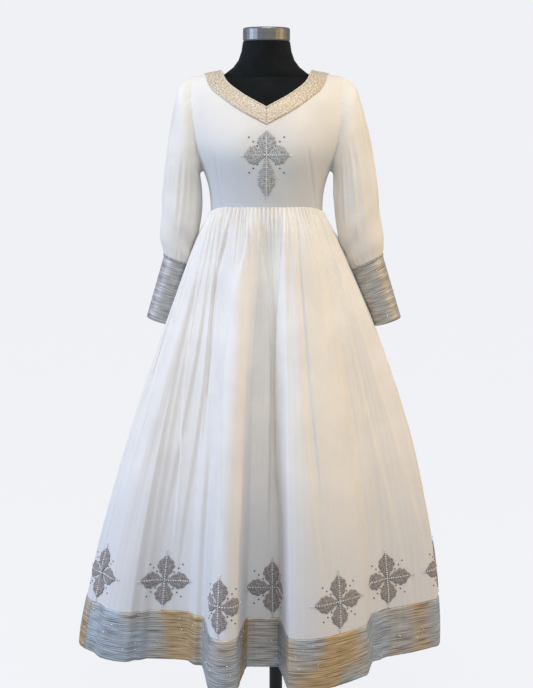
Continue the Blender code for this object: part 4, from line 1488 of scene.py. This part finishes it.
    def make_grid(self) -> None:
        """Works out the fine surface of the skirt."""
        waist = evenly(self.bodice.waist_loop(), np.arange(self.columns) / self.columns)
        hem = self.plan()
        outward = unit(waist[:, :2] / np.array(self.waist_oval) ** 2)
        power = self.power + self.power_left * waist[:, 0] / np.abs(waist[:, 0]).max()
        top = waist[:, 2] - GAP * 1.3
        down = np.linspace(0.0, 1.0, self.rows + 1) ** self.row_growth
        self.heights = self.top - (self.top - self.hem) * down
        over = (top[None] - self.level) / (self.top - self.level)
        above = self.level + (self.heights[:, None] - self.level) * over
        height = np.where(self.heights[:, None] > self.level, above, self.heights[:, None])
        share = (top[None] - height) / (top[None] - self.hem)
        spread = (1 - (1 - share) ** power[None])[..., None]
        puff = self.puff * (1 - np.exp((height - top[None]) / self.puff_length)) * (1 - share)
        plan = waist[None, :, :2] * (1 - spread) + hem[None] * spread + outward[None] * puff[..., None]
        base = Patch(np.concatenate([plan, height[..., None]], axis=2), closed=True)
        level = base.normals() * np.array([1.0, 1.0, 0.0])
        down = top[None] - height
        points = base.points + unit(level) * self.gathers(down)[..., None]
        points[..., 2] += self.ruffle[1] * np.exp(-down / self.ruffle[2])
        self.cloth = Patch(points, closed=True)
        self.outs = self.cloth.normals()

    def read(self, turn: Array, height: Array, lift: Array | float = 0.0) -> tuple[Array, Array]:
        """Points and normals of the cloth.

        Args:
            turn: Share of the way round, 0 in the middle of the front.
            height: Height above the floor, under the gathers.
            lift: How far out from the cloth.

        Returns:
            The points and the normals, each read between the four nearest of the grid.
        """
        turn, height = np.broadcast_arrays(np.asarray(turn, float), np.asarray(height, float))
        row = np.interp(-height, -self.heights, np.arange(self.rows + 1))
        r = np.clip(np.floor(row).astype(int), 0, self.rows - 1)
        fr = (row - r)[..., None]
        column = (turn % 1.0) * self.columns
        c = np.floor(column).astype(int)
        fc = (column - c)[..., None]
        c, n = c % self.columns, (c + 1) % self.columns
        found = []
        for grid in (self.cloth.points, self.outs):
            upper = grid[r, c] * (1 - fc) + grid[r, n] * fc
            lower = grid[r + 1, c] * (1 - fc) + grid[r + 1, n] * fc
            found.append(upper * (1 - fr) + lower * fr)
        out = unit(found[1])
        return found[0] + out * np.asarray(lift, float)[..., None], out

    def turns(self, side: Side, cells: int) -> Array:
        """Shares of the way round over one half, half a gap in from each side seam."""
        middle = 0.0 if side is Side.FRONT else 0.5
        return middle + np.linspace(self.side_gap - 0.25, 0.25 - self.side_gap, cells + 1)

    def make(self, going: dict) -> None:
        """Builds the front and back of the skirt.

        Args:
            going: The pieces that lie on each half.
        """
        half = self.columns // 2
        quarter = self.columns // 4
        for side in Side:
            start = -quarter if side is Side.FRONT else quarter
            chosen = (np.arange(half + 1) + start) % self.columns
            points = self.cloth.points[:, chosen].copy()
            for edge, inside in ((0, 1), (-1, -2)):
                points[:, edge] += unit(points[:, inside] - points[:, edge]) * GAP / 2
            name = "skirt_" + side.name.lower()
            piece = stitch(name + "_cloth", [Patch(points)], LINED_CHIFFON, CLOTH)
            settle(piece, "ivory_chiffon", name)
            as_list(going[side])


@dataclass
class HemBand:
    """The ribbed band round the hem, with crystals scattered over it."""

    skirt: Skirt
    rows: int = 30
    cells: int = 380
    crown: float = 0.0006
    stones: int = 150
    stone_sizes: tuple = (0.0012, 0.0016, 0.0024)
    stone_shares: tuple = (0.4, 0.4, 0.2)
    reach: float = 0.248  # half of the way round that the stones of one half cover
    edges: tuple = (0.008, 0.006)  # clear cloth below and above the stones

    def make(self) -> dict:
        """Builds the band's front and back.

        Returns:
            The pieces on each half of the skirt.
        """
        made = {}
        for side in Side:
            turn = self.skirt.turns(side, self.cells)[None]
            height = np.linspace(self.skirt.hem + self.skirt.band, self.skirt.hem, self.rows + 1)[:, None]
            over = self.crown * np.sin(np.pi * np.linspace(0, 1, self.rows + 1))[:, None]
            over[0] = -TILET  # the stitched top edge sinks into the cloth under it
            points = self.skirt.read(turn, height, GAP + TILET + over + 0 * turn)[0]
            name = "hem_band_" + side.name.lower()
            band = stitch(name + "_cloth", [Patch(points)], SILVER_TILET, TILET)
            settle(band, "silver_tilet", name)
            stones = self.scatter(name, side)
            made[side] = [band, stones]
        return made

    def scatter(self, name: str, side: Side) -> Piece:
        """Crystals at uneven places over one half of the band.

        Args:
            name: What the piece's name begins with.
            side: Front or back.

        Returns:
            The crystals.
        """
        dice = np.random.default_rng(60 + side.value)
        middle = 0.0 if side is Side.FRONT else 0.5
        turn = middle + dice.uniform(-self.reach, self.reach, self.stones)
        low, high = self.skirt.hem + self.edges[0], self.skirt.hem + self.skirt.band - self.edges[1]
        height = low + (high - low) * dice.uniform(0, 1, self.stones) ** 0.8
        places, out = self.skirt.read(turn, height, GAP + TILET + STONE_LIFT)
        sizes = dice.choice(self.stone_sizes, self.stones, p=self.stone_shares)
        return settle(string_beads(name + "_crystals", places, out, sizes, CRYSTAL), "silver_tilet")


# ---------------------------------------------------------------- crosses


@dataclass
class Leaf:
    """One arm of a cross: a scalloped leaf from the middle to its tip."""

    heading: float  # degrees from straight up, turning to +X
    length: float
    half_width: float
    fullest: float = 0.60  # share of the length at which it is widest
    lobes: float = 4.6
    spine_over: float = 0.010  # how far the beads go on past the tip

    def width(self, share: Array) -> Array:
        """Half width along the leaf.

        w = W sin(90 min(s / f, 1))^1.3 (1 - ease(s, f + 0.02, 1.04))^0.8 (0.74 + 0.26 |sin(lobes pi s)|^0.7).

        Args:
            share: Share of the way to the tip.

        Returns:
            The half width.
        """
        rise = np.sin(0.5 * np.pi * np.clip(share / self.fullest, 0.0, 1.0)) ** 1.3
        body = rise * (1 - ease(share, self.fullest + 0.02, 1.04)) ** 0.8
        scallop = np.abs(np.sin(self.lobes * np.pi * share)) ** 0.7
        return self.half_width * (0.74 + 0.26 * scallop) * body + 0.0010

    def turned(self, across: Array, up: Array) -> tuple[Array, Array]:
        """Across and up on the whole cross, for a point across and along the leaf."""
        turn = math.radians(self.heading)
        return across * math.cos(turn) + up * math.sin(turn), up * math.cos(turn) - across * math.sin(turn)

    def grid(self, rows: int = 30, columns: int = 12) -> tuple[Array, Array, Array]:
        """Across, up and crown over the leaf, tip first. The crown is 1 - |s|^3 of the share s across.

        Args:
            rows: Steps along the leaf.
            columns: Steps across it.

        Returns:
            The across, the up and the crown.
        """
        share = np.linspace(1.0, 0.02, rows + 1)[:, None]
        side = np.linspace(-1.0, 1.0, columns + 1)[None]
        a, b = self.turned(side * self.width(share), share * self.length + 0 * side)
        ends = ease(share, 1.0, 0.9) * ease(share, 0.0, 0.1)
        return a, b, (1 - np.abs(side) ** 3) * ends

    def spine(self, spacing: float) -> tuple[Array, Array]:
        """Across and up of beads along the leaf's middle, to just past its tip."""
        reach = np.arange(0.004, self.length + self.spine_over, spacing)
        return self.turned(np.zeros_like(reach), reach)


class Ground:
    """A surface that a cross lies on."""

    def read(self, across: Array, up: Array, lift: Array | float) -> tuple[Array, Array]:
        """Points and normals at a place on the cross, in metres from its middle."""
        raise NotImplementedError


@dataclass
class SkirtGround(Ground):
    """The skirt round one place. A metre across is one over the ring's length of a turn."""

    skirt: Skirt
    turn: float
    height: float
    ring: float = 2.58

    def read(self, across: Array, up: Array, lift: Array | float) -> tuple[Array, Array]:
        """Points and normals of the skirt."""
        lift = np.asarray(lift, float) + 0 * across
        return self.skirt.read(self.turn + across / self.ring, self.height + up, lift)


@dataclass
class ChestGround(Ground):
    """The front of the bodice round one height."""

    torso: Torso
    height: float

    def read(self, across: Array, up: Array, lift: Array | float) -> tuple[Array, Array]:
        """Points and normals of the bodice.

        Args:
            across: Metres to +X from the middle.
            up: Metres above it.
            lift: How far out.

        Returns:
            The points and the normals.
        """
        turn, fall = self.torso.place(across, self.height + up)
        out = self.torso.out(turn, fall, Side.FRONT)
        lift = (np.asarray(lift, float) + 0 * across)[..., None]
        return self.torso.points(turn, fall, Side.FRONT) + out * lift, out


@dataclass
class Cross:
    """An embroidered cross of scalloped leaves, with beaded spines and dots between the arms."""

    name: str
    ground: Ground
    leaves: tuple
    dot_reach: tuple
    bead: float = 0.0024  # radius
    bead_spacing: float = 0.0058
    dot: float = 0.0022  # radius
    pad: float = 0.0012
    lift: float = 0.0016
    finish: SatinStitch = GREY_EMBROIDERY

    def patches(self) -> list[Patch]:
        """The leaves as padded patches on the ground.

        Returns:
            A patch for each leaf.
        """
        made = []
        for leaf in self.leaves:
            across, up, crown = leaf.grid()
            points = self.ground.read(across, up, self.lift + self.pad * crown)[0]
            made.append(Patch(points))
        return made

    def beads(self) -> tuple[Array, Array]:
        """Places and normals of the silver beads along each leaf.

        Returns:
            The places and the normals.
        """
        spines = [leaf.spine(self.bead_spacing) for leaf in self.leaves]
        across = np.concatenate([[0.0]] + [a for a, _ in spines])
        up = np.concatenate([[0.0]] + [b for _, b in spines])
        return self.ground.read(across, up, self.lift + self.pad)

    def dots(self) -> tuple[Array, Array]:
        """Places and normals of the dark beads in rows between the arms.

        Returns:
            The places and the normals.
        """
        reach = np.array(self.dot_reach)
        heading = np.radians([45.0, 135.0, 225.0, 315.0])[:, None]
        across, up = (reach * np.sin(heading)).ravel(), (reach * np.cos(heading)).ravel()
        return self.ground.read(across, up, STONE_LIFT)

    def make(self) -> Piece:
        """Builds the embroidery. Its beads are strung with those of the other crosses."""
        piece = stitch(self.name + "_stitching", self.patches(), self.finish, THREAD)
        return settle(piece, "grey_embroidery", self.name)


def string_all(crosses: list[Cross], name: str) -> list[Piece]:
    """Strings the beads and dots of several crosses.

    Args:
        crosses: The crosses.
        name: What the pieces' names begin with.

    Returns:
        The silver beads of the spines, and the dark beads between the arms.
    """
    made = []
    for word, picked, size, finish in (
        ("_beads", [c.beads() for c in crosses], crosses[0].bead, SILVER_BEAD),
        ("_dots", [c.dots() for c in crosses], crosses[0].dot, DARK_BEAD),
    ):
        places = np.concatenate([p for p, _ in picked])
        out = np.concatenate([n for _, n in picked])
        piece = string_beads(name + word, places, out, np.full(len(places), size), finish)
        made.append(settle(piece, "grey_embroidery"))
    return made


HEM_CROSS_HEIGHT = 0.4225
HEM_CROSS_STEPS = 96  # steps round the hem on which the crosses are set
HEM_CROSSES = (-24, -17, -8, 0, 9, 16, 22, 28, 34, 41, 47, 53, 60, 66)
HEM_DOTS = (0.030, 0.044, 0.058)
HEM_LEAVES = tuple(Leaf(heading, 0.060 if heading % 180 else 0.064, 0.021) for heading in (0.0, 90.0, 180.0, 270.0))
CHEST_CROSS_HEIGHT = 1.457
CHEST_DOTS = (0.030, 0.043, 0.057)
CHEST_LEAVES = (
    Leaf(0.0, 0.054, 0.021, spine_over=0.006),
    Leaf(90.0, 0.052, 0.021, spine_over=0.006),
    Leaf(270.0, 0.052, 0.021, spine_over=0.006),
    Leaf(180.0, 0.094, 0.020, fullest=0.62, lobes=6.2, spine_over=0.005),
)


def hem_crosses(skirt: Skirt) -> dict:
    """Builds the fourteen crosses above the hem band.

    Args:
        skirt: The skirt that they lie on.

    Returns:
        The pieces on each half of the skirt.
    """
    made = {Side.FRONT: [], Side.BACK: []}
    crosses = {Side.FRONT: [], Side.BACK: []}
    for number, step in enumerate(HEM_CROSSES):
        ground = SkirtGround(skirt, (step + 0.5) / HEM_CROSS_STEPS, HEM_CROSS_HEIGHT)
        cross = Cross(f"hem_cross_{number + 1:02d}", ground, HEM_LEAVES, HEM_DOTS)
        side = Side.FRONT if abs(ground.turn) < 0.25 else Side.BACK
        made[side].append(cross.make())
        crosses[side].append(cross)
    for side, group in crosses.items():
        made[side] += string_all(group, "hem_cross_" + side.name.lower())
    return made


def chest_cross(torso: Torso) -> None:
    """Builds the cross on the chest, whose lowest arm is the longest.

    Args:
        torso: The body that it lies on.
    """
    ground = ChestGround(torso, CHEST_CROSS_HEIGHT)
    small = {"bead": 0.0020, "bead_spacing": 0.0048, "finish": SILVER_EMBROIDERY}
    cross = Cross("chest_cross", ground, CHEST_LEAVES, CHEST_DOTS, **small)
    cross.make()
    string_all([cross], "chest_cross")


# ---------------------------------------------------------------- form, camera and lights


@dataclass
class DressForm:
    """The limbless form and its stand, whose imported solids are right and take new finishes."""

    finishes: dict = field(
        default_factory=lambda: {
            "form_torso": BLACK_JERSEY,
            "form_neck_cap": SATIN_METAL,
            "stand_pole": BLACK_ENAMEL,
            "stand_base": BLACK_ENAMEL,
        }
    )

    def dress(self) -> None:
        """Gives each solid its finish."""
        for name, finish in self.finishes.items():
            node = bpy.data.objects[name]
            for slot in node.material_slots:
                slot.material = finish.material()
            log.info("%s takes %s", name, finish.name)


@dataclass
class Studio:
    """A pale floor, soft light that is cool from the left and warm from the right, and the camera."""

    # Name, place, what it points at, width, power in watts, colour.
    lights: tuple = (
        ("cool_window", (-3.2, -1.0, 1.9), (0.0, 0.0, 0.9), 2.0, 66.0, "#D0E1FF"),
        ("warm_lamp", (3.2, -0.9, 1.8), (0.0, 0.0, 0.8), 2.0, 35.0, "#FFCC66"),
        ("top_fill", (0.3, -2.0, 3.6), (0.0, 0.0, 1.0), 2.0, 44.0, "#FFFBF0"),
    )
    air_code: str = "#F1F2F6"
    air_strength: float = 0.52  # light from all round
    view_strength: float = 0.99  # how bright the air is to look at
    floor_rings: tuple = (0.0001, 0.5, 2.0, 8.0, 900.0)
    floor_height: float = -0.0005
    floor_sides: int = 96
    lens: float = 65.0  # millimetres, on a sensor 36 mm wide
    eye: tuple = (0.0, -3.0, 1.55)
    tilt: float = 79.5  # degrees from straight down

    def aim(self, thing: Piece, place: tuple, target: tuple) -> None:
        """Puts a thing at a place and turns its -Z to a target.

        Args:
            thing: The lamp.
            place: Where it goes.
            target: What it points at.
        """
        from_to = np.array(target, float) - np.array(place, float)
        flat = math.hypot(from_to[0], from_to[1])
        thing.location = place
        thing.rotation_euler = (math.atan2(flat, -from_to[2]), 0.0, math.atan2(-from_to[0], from_to[1]))

    def make_floor(self) -> None:
        """A wide disc of paper, rings of radius r at one height."""
        turn = np.linspace(0, 2 * math.pi, self.floor_sides, endpoint=False)
        reach = np.array(self.floor_rings)[:, None]
        x, y = reach * np.cos(turn), reach * np.sin(turn)
        floor = np.stack([x, y, np.full_like(x, self.floor_height)], axis=-1)
        stitch("studio_floor", [Patch(floor, closed=True)], STUDIO_PAPER)

    def make_lights(self) -> None:
        """The three lamps."""
        for name, place, target, width, power, code in self.lights:
            lamp = bpy.data.lights.new(name, "AREA")
            lamp.shape = "DISK"
            lamp.size = width
            lamp.energy = power
            lamp.color = linear(code)[:3]
            thing = bpy.data.objects.new(name, lamp)
            bpy.context.scene.collection.objects.link(thing)
            self.aim(thing, place, target)

    def make_air(self) -> None:
        """An even pale world, brighter to look at than as a light."""
        world = bpy.data.worlds.new("studio_air")
        world.use_nodes = True
        tree = world.node_tree
        looked_at = add_node(tree, "LightPath").outputs["Is Camera Ray"]
        rise = {0: looked_at, 1: self.view_strength - self.air_strength, 2: self.air_strength}
        strength = add_node(tree, "Math", rise, operation="MULTIPLY_ADD").outputs[0]
        fill(tree.nodes["Background"], {"Color": linear(self.air_code), "Strength": strength})
        bpy.context.scene.world = world
        bpy.context.scene.view_settings.view_transform = "Standard"

    def make_camera(self) -> None:
        """The camera, level across and tilted a little down."""
        lens = bpy.data.cameras.new("camera")
        lens.lens = self.lens
        lens.sensor_width = 36.0
        camera = bpy.data.objects.new("camera", lens)
        camera.location = self.eye
        camera.rotation_euler = (math.radians(self.tilt), 0.0, 0.0)
        bpy.context.scene.collection.objects.link(camera)
        bpy.context.scene.camera = camera

    def make(self) -> None:
        """Builds the floor, the lights, the world and the camera."""
        self.make_floor()
        self.make_lights()
        self.make_air()
        self.make_camera()


def main() -> None:
    """Builds the classes in order."""
    logging.basicConfig(level=logging.INFO, format="%(name)s: %(message)s")
    Studio().make()
    DressForm().dress()
    torso = Torso()
    bodice = Bodice(torso)
    bodice.make()
    NeckBand(bodice).make()
    Sleeve(bodice, Hand.LEFT, SLEEVE_LEFT, CUFF_LEFT).make()
    Sleeve(bodice, Hand.RIGHT, SLEEVE_RIGHT, CUFF_RIGHT).make()
    skirt = Skirt(bodice)
    skirt.make_grid()
    bands = HemBand(skirt).make()
    crosses = hem_crosses(skirt)
    skirt.make({side: bands[side] + crosses[side] for side in Side})
    chest_cross(torso)


if __name__ == "__main__":
    main()
